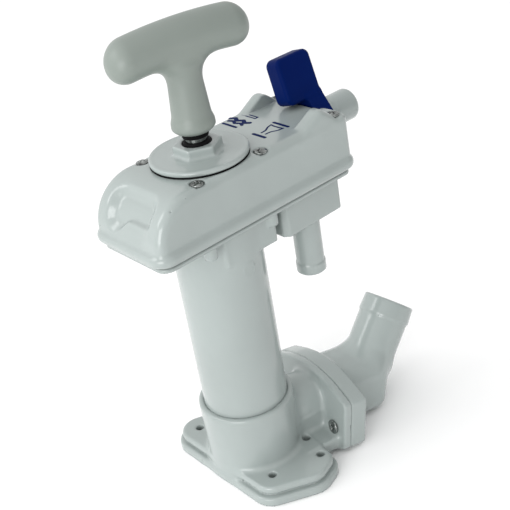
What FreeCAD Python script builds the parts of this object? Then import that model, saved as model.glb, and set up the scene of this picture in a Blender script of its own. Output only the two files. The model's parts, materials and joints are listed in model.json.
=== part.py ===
"""Double-acting marine hand pump with T-handle, flush lever, hose tails and discharge elbow.

Millimetres, +Z up along the cylinder.  The origin is on the cylinder's axis at the underside of the
base, +Y points to the rear (lever and outlet tail), +X to the side that the discharge leans towards.
Every size comes from the sheet "dims"; each kept sub-part is one object whose Label names its file.
"""

import FreeCAD, Part
import math
import os
import re

import Sketcher
from FreeCAD import Placement, Rotation, Vector

DRIVING = {
    # cylinder and piston
    "tube_radius": (30.0, "outside of the cylinder"),
    "tube_wall": (3.5, "wall of the cylinder"),
    "tube_bottom": (46.0, "height of the cylinder's lower end"),
    "piston_bottom": (50.0, "underside of the piston, handle down"),
    "piston_height": (20.0, "height of the piston"),
    "seal_gap": (0.3, "gap between the piston's parts and the bore"),
    "ring_section": (2.6, "section radius of the piston's O-ring"),
    "rod_radius": (7.0, "radius of the stainless rod"),
    "rod_thread": (5.0, "radius of the rod's threaded ends"),
    "running_gap": (0.06, "clearance of a shaft in its hole"),
    # base casting
    "plinth_height": (6.5, "lower flange of the base"),
    "groove_height": (1.5, "groove over the lower flange"),
    "groove_inset": (5.0, "depth of the groove"),
    "plate_top": (14.0, "top of the base plate"),
    "plate_inset": (3.0, "how far the upper plate stands in"),
    "base_hole": (2.9, "radius of the holes for the base bolts"),
    "collar_radius": (33.9, "collar round the cylinder"),
    "collar_top": (59.0, "top of the collar"),
    "chamber_radius": (25.5, "valve chamber in the base"),
    "web_height": (6.0, "web that carries the lower valve"),
    "intake_radius": (15.0, "port under the base"),
    # discharge flange and elbow
    "azimuth": (9.0, "turn of the discharge from +Y towards +X, degrees"),
    "lean": (8.4, "how far the flange leans out at its top, degrees"),
    "flange_reach": (49.0, "cylinder axis to the near face of the flange"),
    "flange_level": (19.0, "height of the flange's screws"),
    "flange_half": (46.0, "half the flange's length"),
    "flange_low": (15.2, "flange below its screws"),
    "flange_side": (25.0, "flange's ends above its screws"),
    "flange_crown": (34.2, "flange's top above its screws"),
    "flange_arch": (98.0, "radius of the flange's arched top"),
    "flange_corner": (4.0, "corner radius of the flange"),
    "flange_base": (6.0, "thickness on the base"),
    "flange_elbow": (13.4, "thickness on the elbow"),
    "flange_screw": (33.5, "screws from the middle of the flange"),
    "neck_radius": (20.5, "outside of the neck"),
    "neck_bore": (14.0, "bore of the neck"),
    "flange_foot": (40.0, "half the foot that joins the flange to the base plate"),
    "port_rise": (8.6, "bore above the flange's screws"),
    "elbow_radius": (20.0, "outside of the elbow's body"),
    "elbow_bore": (16.0, "bore of the elbow"),
    "elbow_bend": (24.0, "bend radius of the elbow"),
    "tail_turn": (57.0, "turn of the elbow from the flange's normal to its tail, degrees"),
    "tail_roll": (10.0, "lean of the elbow's own plane towards -X, degrees"),
    "tail_radius": (19.0, "outside of the discharge tail, for 38 mm hose"),
    "tail_barb": (19.9, "largest radius of the barb"),
    "tail_barb_length": (14.0, "length of the barb"),
    "tail_run": (49.0, "straight tail past the bend"),
    "elbow_start": (17.0, "straight body before the bend"),
    "chamber_x": (12.0, "centres of the elbow chamber's corners either side of the port"),
    "chamber_y": (8.5, "centres of the elbow chamber's corners above and below the port"),
    "chamber_corner": (13.0, "corner radius of the elbow's chamber"),
    "chamber_length": (54.0, "length of the elbow's chamber from the joint"),
    "chamber_wall": (3.6, "wall of the elbow's chamber"),
    "chamber_floor": (0.6, "flat underside of the chamber above the floor"),
    # head under the cover
    "plate_thickness": (3.0, "head plate"),
    "gasket_thickness": (1.5, "upper valve gasket"),
    "cover_bottom": (204.8, "underside of the cover"),
    "chest_face": (28.5, "side of the valve chests"),
    "chest_bottom": (175.5, "underside of the rear valve chest"),
    "chest_front": (36.5, "front of the rear valve chest"),
    "chest_rear": (88.5, "rear of the rear valve chest"),
    "side_chest_bottom": (178.5, "underside of the chest beside the cylinder"),
    "side_chest_front": (-14.0, "front of the chest beside the cylinder"),
    "side_chest_rear": (29.0, "rear of the chest beside the cylinder"),
    "chest_wall": (3.0, "wall of the valve chests"),
    "hose_radius": (9.75, "outside of the small hose tails, for 19 mm hose"),
    "hose_bore": (7.0, "bore of the small hose tails"),
    "hose_barb": (10.6, "largest radius of the small barbs"),
    "drop_tail_x": (14.0, "down tail across"),
    "drop_tail_y": (66.0, "down tail along"),
    "drop_tail_end": (133.0, "lower end of the down tail"),
    # cover
    "cover_half_width": (37.8, "half the cover's rim"),
    "cover_front": (-68.0, "front of the rim"),
    "cover_rear": (102.0, "rear of the rim"),
    "cover_corner": (12.0, "corner radius of the rim"),
    "rim_height": (8.2, "height of the rounded rim"),
    "cover_top": (244.3, "flat top of the cover"),
    "body_inset": (3.2, "cover's body inside the rim"),
    "rear_inset": (3.0, "cover's rear wall inside the rim"),
    "nose_radius": (31.0, "rounded nose"),
    "edge_radius": (5.5, "rounded edges of the cover"),
    "cover_wall": (3.2, "wall of the cover"),
    "throat_radius": (28.2, "opening for the seal housing"),
    "horn_rise": (8.2, "shoulders beside the lever, above the top"),
    "horn_width": (11.5, "width of a shoulder"),
    "horn_radius": (4.6, "rounding of a shoulder"),
    "rear_tail_x": (-20.0, "outlet tail across"),
    "rear_tail_level": (219.0, "height of the outlet tail"),
    "rear_tail_end": (151.5, "end of the outlet tail"),
    "rear_bead": (11.7, "radius of the outlet tail's bead"),
    "rear_bead_length": (21.5, "length of the bead"),
    "cover_screw_x": (27.8, "cover screws across"),
    "cover_screw_front": (-25.0, "front pair of cover screws"),
    "cover_screw_middle": (26.2, "middle pair of cover screws"),
    "screw_seat": (242.6, "height of the seats under the screws' heads"),
    "cover_screw_rear": (90.5, "rear pair of cover screws"),
    "screw_shank": (2.1, "radius of the cover screws"),
    "screw_head": (4.3, "radius of their pan heads"),
    "screw_head_height": (2.6, "height of their pan heads"),
    "boss_radius": (5.2, "bosses round the cover screws"),
    # seal housing and handle
    "disc_radius": (32.1, "seal housing's disc"),
    "disc_bottom": (245.1, "underside of the disc"),
    "disc_top": (248.6, "top of the disc"),
    "hex_flats": (27.4, "across the flats of the housing's hexagon"),
    "hex_top": (255.0, "top of the hexagon"),
    "spigot_radius": (28.0, "threaded spigot of the seal housing"),
    "spigot_bottom": (229.0, "lower end of the spigot"),
    "bumper_radius": (9.2, "rubber bumper under the handle"),
    "handle_foot": (262.5, "underside of the handle"),
    "foot_radius": (13.4, "handle at its foot"),
    "neck_narrow": (10.6, "handle at its narrowest"),
    "grip_level": (321.0, "axis of the grip"),
    "grip_radius": (13.2, "radius of the grip"),
    "grip_half": (46.0, "half the grip's length"),
    "grip_turn": (79.0, "grip from the X axis, degrees"),
    # lever, cam and bypass valve
    "lever_axis": (235.0, "height of the lever's pin"),
    "lever_lean": (15.0, "lever at rest, towards -X, degrees"),
    "paddle_front": (76.5, "front edge of the paddle"),
    "paddle_rear": (106.0, "rear edge of the paddle"),
    "paddle_low": (12.2, "underside of the paddle above the pin"),
    "paddle_high": (44.5, "top of the paddle above the pin"),
    "paddle_thickness": (14.5, "thickness of the paddle"),
    "drum_radius": (12.0, "drum of the lever"),
    "drum_front": (92.0, "front of the drum"),
    "drum_rear": (106.0, "rear of the drum"),
    "pin_radius": (2.5, "lever's pin"),
    "cam_radius": (6.2, "eccentric cam"),
    "cam_flat": (2.4, "flat on top of the cam, above its axis"),
    "cam_offset": (5.8, "throw of the cam"),
    "cam_front": (78.2, "front of the cam"),
    "cam_width": (5.0, "width of the cam"),
    "stem_x": (5.7, "bypass stem across"),
    "stem_y": (80.7, "bypass stem along"),
    "stem_radius": (2.4, "radius of the bypass stem"),
    # valves
    "valve_x": (16.0, "upper flap valves across"),
    "valve_y": (53.0, "upper flap valves along"),
    "valve_port": (6.5, "ports under the upper flaps"),
    "flap_radius": (9.0, "upper flaps"),
    "flap_hinge": (25.6, "hinge line of the upper flaps"),
    "weight_radius": (5.6, "weights on the upper flaps"),
    "weight_height": (3.0, "their height"),
    "lower_gasket": (2.0, "thickness of the lower valve gasket"),
    "lower_flap": (17.5, "radius of the lower flap"),
    "lower_flap_height": (2.5, "thickness of the lower flap"),
    "lower_hinge": (19.5, "hinge line of the lower flap"),
    "lower_weight": (12.0, "radius of its weight"),
    "lower_weight_height": (4.0, "height of its weight"),
}

doc = FreeCAD.newDocument("marine_hand_pump")
sheet = doc.addObject("Spreadsheet::Sheet", "dims")
for row, (alias, (value, note)) in enumerate(DRIVING.items(), start=1):
    sheet.set(f"A{row}", alias)
    sheet.set(f"B{row}", str(value))
    sheet.set(f"C{row}", note)
    sheet.setAlias(f"B{row}", alias)
doc.recompute()

X_AXIS, Y_AXIS, Z_AXIS = Vector(1, 0, 0), Vector(0, 1, 0), Vector(0, 0, 1)
kept = {}


# ---------------------------------------------------------------- helpers

def cell(text):
    """The same words as an expression on the sheet."""
    return re.sub(r"[a-z_]{3,}", lambda m: "dims." + m.group(0) if m.group(0) in DRIVING else m.group(0),
                  str(text))


def value(text):
    """The number that an expression in the sheet's words comes to, angles in degrees."""
    words = re.sub(r"[a-z_]{3,}", lambda m: str(sheet.get(m.group(0))) if m.group(0) in DRIVING
                   else m.group(0), str(text))
    return float(FreeCAD.Units.Quantity(words.replace(" ", "")).Value)


def bind(obj, **sizes):
    for name, text in sizes.items():
        obj.setExpression(name, cell(text))
    return obj


def place(obj, at, rotation=None):
    """Turns an object, and binds its position to the sheet."""
    if rotation is not None:
        obj.Placement = Placement(Vector(0, 0, 0), rotation)
    for letter, text in zip("xyz", at):
        obj.setExpression(f"Placement.Base.{letter}", cell(text))
    return obj


def along(direction):
    """Rotation that turns +Z to a direction."""
    return Rotation(Z_AXIS, direction)


def cylinder(name, radius, height, at=("0", "0", "0"), direction=Z_AXIS):
    obj = bind(doc.addObject("Part::Cylinder", name), Radius=radius, Height=height)
    return place(obj, at, along(direction))


def cone(name, low, high, height, at=("0", "0", "0"), direction=Z_AXIS):
    obj = bind(doc.addObject("Part::Cone", name), Radius1=low, Radius2=high, Height=height)
    return place(obj, at, along(direction))


def ring(name, major, minor, at=("0", "0", "0"), direction=Z_AXIS):
    obj = bind(doc.addObject("Part::Torus", name), Radius1=major, Radius2=minor)
    return place(obj, at, along(direction))


def block(name, low, high):
    """A box from one corner to the opposite one, each given as three expressions."""
    obj = bind(doc.addObject("Part::Box", name), Length=f"({high[0]}) - ({low[0]})",
               Width=f"({high[1]}) - ({low[1]})", Height=f"({high[2]}) - ({low[2]})")
    return place(obj, low)


def moved(obj, base, rotation=None):
    """Sets a placement that is worked out from the sheet's values."""
    obj.Placement = Placement(base, rotation or Rotation())
    return obj


def fuse(name, shapes):
    obj = doc.addObject("Part::MultiFuse", name)
    obj.Shapes = shapes
    obj.Refine = True
    return obj


def cut(name, base, tools):
    """The base without the tools."""
    obj = doc.addObject("Part::Cut", name)
    obj.Base = base
    obj.Tool = tools[0] if len(tools) == 1 else fuse(name + "_tools", tools)
    obj.Refine = True
    return obj


def common(name, first, second):
    obj = doc.addObject("Part::Common", name)
    obj.Base = first
    obj.Tool = second
    return obj


def rounded(name, base, radius, wanted):
    """Fillets the edges of a finished object for which wanted(edge) is true."""
    doc.recompute()
    obj = doc.addObject("Part::Fillet", name)
    obj.Base = base
    size = value(radius)
    obj.Edges = [(i, size, size) for i, edge in enumerate(base.Shape.Edges, start=1) if wanted(edge)]
    return obj


def keep(node, obj, solids=1):
    """Names a finished sub-part."""
    obj.Label = node
    kept[node] = (obj, solids)
    return obj


def outline(sketch, lobes):
    """A closed outline of arcs joined by tangent lines, round lobes given as (x, y, radius), anticlockwise."""
    numbers = [(value(x), value(y), value(r)) for x, y, r in lobes]
    count = len(numbers)
    ends = []
    for i in range(count):
        x0, y0, r0 = numbers[i]
        x1, y1, r1 = numbers[(i + 1) % count]
        heading = math.atan2(y1 - y0, x1 - x0)
        ends.append(heading - math.pi / 2 + math.asin((r0 - r1) / math.hypot(x1 - x0, y1 - y0)))
    arcs = []
    for i, (x, y, r) in enumerate(numbers):
        start, stop = ends[i - 1], ends[i]
        while stop < start:
            stop += 2 * math.pi
        circle = Part.Circle(Vector(x, y, 0), Z_AXIS, r)
        arcs.append(sketch.addGeometry(Part.ArcOfCircle(circle, start, stop), False))
    lines = []
    for i in range(count):
        x0, y0, r0 = numbers[i]
        x1, y1, r1 = numbers[(i + 1) % count]
        spot = Vector(math.cos(ends[i]), math.sin(ends[i]), 0)
        first, last = Vector(x0, y0, 0) + spot * r0, Vector(x1, y1, 0) + spot * r1
        lines.append(sketch.addGeometry(Part.LineSegment(first, last), False))
    for i in range(count):
        sketch.addConstraint(Sketcher.Constraint("Tangent", arcs[i], 2, lines[i], 1))
        sketch.addConstraint(Sketcher.Constraint("Tangent", lines[i], 2, arcs[(i + 1) % count], 1))
    for arc, (x, y, r), words in zip(arcs, numbers, lobes):
        for kind, number, text in (("DistanceX", x, words[0]), ("DistanceY", y, words[1])):
            index = sketch.addConstraint(Sketcher.Constraint(kind, -1, 1, arc, 3, number))
            sketch.setExpression(f"Constraints[{index}]", cell(text))
        index = sketch.addConstraint(Sketcher.Constraint("Radius", arc, r))
        sketch.setExpression(f"Constraints[{index}]", cell(words[2]))


def plate(name, lobes, bottom, thickness, where=None):
    """A flat plate with that outline, standing on a level, or with a placement of its own."""
    body = doc.addObject("PartDesign::Body", name)
    sketch = body.newObject("Sketcher::SketchObject", name + "_outline")
    sketch.AttachmentSupport = [(plane_of(body, "XY_Plane"), "")]
    sketch.MapMode = "FlatFace"
    outline(sketch, lobes)
    pad = body.newObject("PartDesign::Pad", name + "_pad")
    pad.Profile = sketch
    bind(pad, Length=thickness)
    if where is not None:
        body.Placement = where
        return body
    return place(body, ("0", "0", bottom))


def plane_of(body, role):
    return next(part for part in body.Origin.OriginFeatures if part.Role == role)


def across(name, lobes, low, width):
    """A prism across X from one side on, with that outline in (y, z)."""
    body = doc.addObject("PartDesign::Body", name)
    sketch = body.newObject("Sketcher::SketchObject", name + "_outline")
    sketch.AttachmentSupport = [(plane_of(body, "YZ_Plane"), "")]
    sketch.MapMode = "FlatFace"
    outline(sketch, lobes)
    pad = body.newObject("PartDesign::Pad", name + "_pad")
    pad.Profile = sketch
    bind(pad, Length=width)
    return place(body, (low, "0", "0"))


def rectangle(x0, y0, x1, y1, corner):
    """Lobes of a rectangle with rounded corners."""
    xs = (f"({x0}) + ({corner})", f"({x1}) - ({corner})")
    ys = (f"({y0}) + ({corner})", f"({y1}) - ({corner})")
    return [(xs[0], ys[0], corner), (xs[1], ys[0], corner), (xs[1], ys[1], corner), (xs[0], ys[1], corner)]


def at_level(edge, level):
    """True for an edge that lies flat at a level."""
    box = edge.BoundBox
    return abs(box.ZMin - level) < 0.01 and abs(box.ZMax - level) < 0.01


def hexagon(name, flats, height, at, direction=Z_AXIS):
    obj = doc.addObject("Part::Prism", name)
    obj.Polygon = 6
    bind(obj, Circumradius=f"({flats}) / sqrt(3)", Height=height)
    return place(obj, at, along(direction))


# ---------------------------------------------------------------- places that several sub-parts share

AZIMUTH = math.radians(value("azimuth"))
LEAN = math.radians(value("lean"))
ROLL = math.radians(value("tail_roll"))
OUTWARD = Vector(math.sin(AZIMUTH), math.cos(AZIMUTH), 0)
SIDEWAYS = Vector(math.cos(AZIMUTH), -math.sin(AZIMUTH), 0)
FLANGE_NORMAL = OUTWARD * math.cos(LEAN) - Z_AXIS * math.sin(LEAN)
FLANGE_UP = OUTWARD * math.sin(LEAN) + Z_AXIS * math.cos(LEAN)
FLANGE_TURN = Rotation(SIDEWAYS * -1, FLANGE_UP, FLANGE_NORMAL, "ZXY")
FLANGE_CENTRE = OUTWARD * value("flange_reach") + Z_AXIS * value("flange_level")
PORT_CENTRE = FLANGE_CENTRE + FLANGE_UP * value("port_rise")
BEND_UP = FLANGE_UP * math.cos(ROLL) - SIDEWAYS * math.sin(ROLL)
TURN_ANGLE = math.radians(value("tail_turn"))
TAIL_DIRECTION = FLANGE_NORMAL * math.cos(TURN_ANGLE) + BEND_UP * math.sin(TURN_ANGLE)

COVER_SCREWS = [(side + "cover_screw_x", along_y) for along_y in
                ("cover_screw_front", "cover_screw_middle", "cover_screw_rear") for side in ("", "-")]
BASE_LOBES = [("-43.9", "-17", 16.5), ("38", "-17.3", 17), ("49", "6", 18), ("50", "14.5", 14.5),
              ("29", "20", 12.5), ("-31", "20", 13)]
BASE_HOLES = [("-43.9", "-17"), ("38", "-17"), ("49.1", "19.5"), ("-35", "19.5"), ("29", "25")]


# ---------------------------------------------------------------- base

def flange_lobes():
    """Outline of the discharge flange, seen along its normal, screws at y = 0."""
    side = "flange_half - flange_corner"
    low = "flange_corner - flange_low"
    high = "flange_side - flange_corner"
    return [(side, low, "flange_corner"), (side, high, "flange_corner"),
            ("0", "flange_crown - flange_arch", "flange_arch"),
            (f"-({side})", high, "flange_corner"), (f"-({side})", low, "flange_corner")]


def inset(lobes, amount):
    return [(x, y, f"{r} - {amount}") for x, y, r in lobes]


def base_casting():
    """Base plate on its plinth, collar for the cylinder, neck and discharge flange, in one casting."""
    plinth = rounded("plinth_rounded", plate("plinth", BASE_LOBES, "0", "plinth_height"), "2.2",
                     lambda edge: at_level(edge, value("plinth_height")))
    groove = plate("groove_step", inset(BASE_LOBES, "groove_inset"), "plinth_height", "groove_height")
    upper = rounded("upper_rounded", plate("upper_plate", inset(BASE_LOBES, "plate_inset"),
                                           "plinth_height + groove_height",
                                           "plate_top - plinth_height - groove_height"), "2.5",
                    lambda edge: at_level(edge, value("plate_top")))
    collar = rounded("collar_rounded", cylinder("collar", "collar_radius", "collar_top - 1", ("0", "0", "1")),
                     "2.6", lambda edge: at_level(edge, value("collar_top")))
    flange = plate("flange_on_base", flange_lobes(), "0", "flange_base",
                   Placement(FLANGE_CENTRE, FLANGE_TURN))
    neck_length = value("flange_reach") - 20
    neck = moved(bind(doc.addObject("Part::Cylinder", "neck"), Radius="neck_radius",
                      Height="flange_reach - 20 + 3"),
                 PORT_CENTRE - FLANGE_NORMAL * neck_length, along(FLANGE_NORMAL))
    rib = moved(bind(doc.addObject("Part::Box", "neck_rib"), Length="2 * neck_radius",
                     Width="flange_reach - 20 + 2", Height="flange_level"),
                OUTWARD * 20 - SIDEWAYS * value("neck_radius") + Z_AXIS * 9,
                Rotation(SIDEWAYS, OUTWARD, Z_AXIS, "ZXY"))
    foot = moved(bind(doc.addObject("Part::Box", "flange_foot"), Length="2 * flange_foot", Width="flange_reach - 20 + 2",
                      Height="plate_top - 4.2"),
                 OUTWARD * 20 - SIDEWAYS * value("flange_foot") + Z_AXIS * 4,
                 Rotation(SIDEWAYS, OUTWARD, Z_AXIS, "ZXY"))
    bore = moved(bind(doc.addObject("Part::Cylinder", "neck_bore_tool"), Radius="neck_bore", Height=60),
                 PORT_CENTRE - FLANGE_NORMAL * 40, along(FLANGE_NORMAL))
    tools = [
        cylinder("socket", "tube_radius", "30", ("0", "0", "tube_bottom")),
        cylinder("chamber", "chamber_radius", "tube_bottom - web_height + 1", ("0", "0", "web_height")),
        cylinder("intake", "intake_radius", "30", ("0", "0", "-5")),
        cylinder("seal_groove", "tube_radius + 2.1", "2.4", ("0", "0", "tube_bottom + 5.3")),
        bore,
    ]
    for i, (x, y) in enumerate(BASE_HOLES):
        tools.append(cylinder(f"base_hole_{i}", "base_hole", "30", (x, y, "-5")))
    for i, spot in enumerate(elbow_screw_places()):
        hole = bind(doc.addObject("Part::Cylinder", f"base_screw_hole_{i}"), Radius="2.6", Height="20")
        tools.append(moved(hole, spot - FLANGE_NORMAL * 5, along(FLANGE_NORMAL)))
    body = fuse("base_solids", [plinth, groove, upper, collar, flange, neck, rib, foot])
    keep("base_casting", cut("base_cut", body, tools))


def elbow_screw_places():
    """Where the elbow's two screws meet the near face of the flange."""
    return [FLANGE_CENTRE + SIDEWAYS * side * value("flange_screw") for side in (1, -1)]


def cylinder_seal():
    """O-ring between the cylinder and the collar."""
    keep("cylinder_seal", ring("cylinder_seal_ring", "tube_radius + 1", "1", ("0", "0", "tube_bottom + 6.5")))


def lower_valve():
    """Gasket ring on the web over the intake port, and the weighted flap that closes the port."""
    top = "web_height + lower_gasket"
    keep("lower_valve_gasket", cut("lower_gasket_cut",
         cylinder("lower_gasket_disc", "chamber_radius - 0.2", "lower_gasket", ("0", "0", "web_height")),
         [cylinder("lower_gasket_hole", "intake_radius - 1", "9", ("0", "0", "web_height - 2"))]))
    disc = cylinder("lower_flap_disc", "lower_flap", "lower_flap_height", ("0", "0", top))
    tongue = block("lower_flap_tongue", ("-lower_hinge", "-6", top), ("-lower_flap + 6", "6",
                                                                     f"{top} + lower_flap_height"))
    bead = cylinder("lower_flap_bead", "lower_flap_height / 2", "12",
                    ("-lower_hinge", "-6", f"{top} + lower_flap_height / 2"), Y_AXIS)
    keep("lower_flap", fuse("lower_flap_solid", [disc, tongue, bead]))
    weight = cylinder("lower_weight_disc", "lower_weight", "lower_weight_height",
                      ("0", "0", f"{top} + lower_flap_height"))
    keep("lower_flap_weight", rounded("lower_weight_rounded", weight, "1", lambda edge: edge.BoundBox.ZLength < 0.01))


# ---------------------------------------------------------------- cylinder with its head

def hose_tail(name, start, length, direction, radius, barb, barb_length):
    """A round tail with one long barb that tapers towards its mouth, as solids to be fused."""
    run = moved(bind(doc.addObject("Part::Cylinder", name + "_run"), Radius=radius, Height=length),
                start, along(direction))
    reach = value(length) - value(barb_length)
    nib = moved(bind(doc.addObject("Part::Cone", name + "_barb"), Radius1=barb, Radius2=f"{radius} - 0.9",
                     Height=barb_length), start + direction * reach, along(direction))
    return [run, nib]


def head_plate_lobes(extra):
    """Outline of the head plate and of the gasket, inside the cover's rim."""
    return rectangle(f"-cover_half_width + {extra}", f"cover_front + {extra}", f"cover_half_width - {extra}",
                     f"cover_rear - {extra}", f"cover_corner - {extra}")


def pump_cylinder():
    """Cylinder, head plate, valve chests and down tail, moulded in one."""
    gasket_bottom = "cover_bottom - gasket_thickness"
    plate_low = f"{gasket_bottom} - plate_thickness"
    face, wall = "chest_face", "chest_wall"
    tube = cylinder("tube", "tube_radius", f"{gasket_bottom} - tube_bottom", ("0", "0", "tube_bottom"))
    head = plate("head_plate", head_plate_lobes("4.2"), plate_low, "plate_thickness")
    side_chest = plate("side_chest", rectangle(f"-{face}", "side_chest_front", face, "side_chest_rear", "1.2"),
                       "side_chest_bottom", f"{plate_low} - side_chest_bottom + 1")
    chest_lobes = [(f"{face} - 2", "chest_rear - 1.2", 1.2), (f"-{face} + 2", "chest_rear - 1.2", 1.2),
                   (f"-{face} + 1.2", "chest_front + 4", 1.2), (f"-{face} + 4.4", "chest_front + 1", 1),
                   (f"{face} - 4.4", "chest_front + 1", 1), (f"{face} - 1.2", "chest_front + 4", 1.2)]
    rear_chest = plate("rear_chest", chest_lobes, "chest_bottom", f"{plate_low} - chest_bottom + 1")
    bridge = block("chest_bridge", ("-20", "24", "chest_bottom + 6"), ("4", "chest_front + 3", plate_low))
    tail = hose_tail("down_tail", Vector(value("drop_tail_x"), value("drop_tail_y"), value("chest_bottom") + 2),
                     "chest_bottom + 2 - drop_tail_end", Z_AXIS * -1, "hose_radius", "hose_barb - 0.4", "8")
    guide = cylinder("stem_guide", "5.5", "9", ("stem_x", "stem_y", f"{gasket_bottom} - 0.5"))
    bosses = [cylinder(f"screw_boss_{i}", "4.4", "9", (x, y, f"{plate_low} - 8.5"))
              for i, (x, y) in enumerate(COVER_SCREWS[:4])]
    body = fuse("cylinder_solids", [tube, head, side_chest, rear_chest, bridge, guide] + tail + bosses)

    bore = cylinder("bore", "tube_radius - tube_wall", "300", ("0", "0", "0"))
    low, high = f"chest_bottom + {wall}", gasket_bottom
    web_top, cell_front = "chest_bottom + 17", "drop_tail_y + 10"
    rooms = [
        # outlet side: a duct from the top of the cylinder to the port under the outlet flap
        block("outlet_room", (f"-{face} + {wall}", f"chest_front + {wall}", low), ("-1.5", f"chest_rear - {wall}",
                                                                             plate_low)),
        block("outlet_duct", ("-17", "20", "chest_bottom + 9"), ("-3", f"chest_front + {wall} + 1",
                                                                 f"{plate_low} - 3")),
        # inlet side: from the down tail to the port under the inlet flap
        block("inlet_room", ("1.5", f"chest_front + {wall}", low), (f"{face} - {wall}", f"{cell_front} - 2",
                                                                 plate_low)),
        block("inlet_room_rear", ("1.5", f"{cell_front} - 3", web_top), (f"{face} - {wall}", f"chest_rear - {wall}",
                                                                    plate_low)),
        # bypass cell under the seat of the bypass valve, open to the outlet side
        block("bypass_cell", ("1.5", cell_front, low), (f"{face} - {wall}", f"chest_rear - {wall}", f"{web_top} - 2.5")),
        block("bypass_window", ("-3", f"{cell_front} + 2", low), ("3", f"chest_rear - {wall} - 2",
                                                                  f"{web_top} - 6")),
        cylinder("bypass_seat", "3.4", "8", ("stem_x", "stem_y", f"{web_top} - 5")),
        cylinder("stem_bore", "stem_radius + running_gap", "30", ("stem_x", "stem_y", f"{plate_low} - 5")),
        cylinder("stem_seal_groove", "4", "2.2", ("stem_x", "stem_y", f"{gasket_bottom} + 4")),
        cylinder("down_tail_bore", "hose_bore", "90", ("drop_tail_x", "drop_tail_y", "drop_tail_end - 20")),
    ]
    ports = [cylinder(f"valve_port_{i}", "valve_port", "12", (f"{sign}valve_x", "valve_y", f"{plate_low} - 4"))
             for i, sign in enumerate(("", "-"))]
    holes = [cylinder(f"screw_hole_{i}", "screw_shank", "30", (x, y, f"{plate_low} - 6"))
             for i, (x, y) in enumerate(COVER_SCREWS)]
    keep("pump_cylinder", cut("cylinder_cut", body, [bore] + rooms + ports + holes))


def stem_seal():
    keep("stem_seal", ring("stem_seal_ring", "(4 + stem_radius + running_gap) / 2",
                           "(4 - stem_radius - running_gap) / 2",
                           ("stem_x", "stem_y", "cover_bottom - gasket_thickness + 5.1")))


def upper_valves():
    """Gasket under the cover with two windows, and a weighted flap in each window."""
    low = "cover_bottom - gasket_thickness"
    sheet_body = plate("gasket_sheet", head_plate_lobes("4.6"), low, "gasket_thickness")
    tools = [cylinder("gasket_throat", "tube_radius - tube_wall", "9", ("0", "0", f"{low} - 3")),
             cylinder("gasket_stem_hole", "5.8", "9", ("stem_x", "stem_y", f"{low} - 3"))]
    for i, (x, y) in enumerate(COVER_SCREWS):
        tools.append(cylinder(f"gasket_hole_{i}", "screw_shank + 0.2", "9", (x, y, f"{low} - 3")))
    for i, sign in enumerate(("", "-")):
        tools.append(cylinder(f"gasket_window_{i}", "flap_radius + 0.7", "9",
                              (f"{sign}valve_x", "valve_y", f"{low} - 3")))
        edges = ["valve_x", "flap_hinge + 1.2"] if sign == "" else ["-flap_hinge - 1.2", "-valve_x"]
        tools.append(block(f"gasket_notch_{i}", (edges[0], "valve_y - 4.4", f"{low} - 3"),
                           (edges[1], "valve_y + 4.4", f"{low} + 6")))
    keep("upper_valve_gasket", cut("gasket_cut", sheet_body, tools))
    for name, sign in (("inlet", ""), ("outlet", "-")):
        disc = cylinder(name + "_flap_disc", "flap_radius", "gasket_thickness", (f"{sign}valve_x", "valve_y", low))
        edges = ["valve_x", "flap_hinge"] if sign == "" else ["-flap_hinge", "-valve_x"]
        tongue = block(name + "_flap_tongue", (edges[0], "valve_y - 3.7", low), (edges[1], "valve_y + 3.7",
                                                                             f"{low} + gasket_thickness"))
        bead = cylinder(name + "_flap_bead", "gasket_thickness / 2", "7.4",
                        (f"{sign}flap_hinge", "valve_y - 3.7", f"{low} + gasket_thickness / 2"), Y_AXIS)
        keep(name + "_flap", fuse(name + "_flap_solid", [disc, tongue, bead]))
        weight = cylinder(name + "_weight_disc", "weight_radius", "weight_height",
                          (f"{sign}valve_x", "valve_y", "cover_bottom"))
        keep(name + "_flap_weight", rounded(name + "_weight_rounded", weight, "0.6",
                                            lambda edge: edge.BoundBox.ZLength < 0.01))


# ---------------------------------------------------------------- cover

def cover_blank(name, gap, low, half):
    """The cover's body without its rim: a long prism whose front top edge is the rounded nose."""
    front, rear = f"cover_front + body_inset + {gap}", f"cover_rear - rear_inset - {gap}"
    top, nose, edge = f"cover_top - {gap}", f"nose_radius - {gap}", f"edge_radius + 1 - {gap} * 0.9"
    lobes = [(f"{front} + {edge}", f"{low} + {edge}", edge), (f"{rear} - ({edge})", f"{low} + {edge}", edge),
             (f"{rear} - ({edge})", f"{top} - ({edge})", edge),
             (f"{front} + {nose}", f"{top} - ({nose})", nose)]
    return across(name, lobes, f"-({half})", f"2 * ({half})")


def on_side(edge):
    """True for an edge that lies in a plane across X."""
    return edge.BoundBox.XLength < 0.01


def shoulder(name, low):
    """Rounded ridge beside the lever: it rises from the top of the cover and slopes to its rear edge."""
    top = "cover_top + horn_rise"
    lobes = [("56", "cover_top - 8.3", "5.5"), ("cover_rear - rear_inset - 8", "cover_top - 8.9", "5.5"),
             ("76", f"{top} - 6.5", "6.5")]
    prism = across(name, lobes, low, "horn_width")
    return rounded(name + "_rounded", prism, "horn_radius", on_side)


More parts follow.
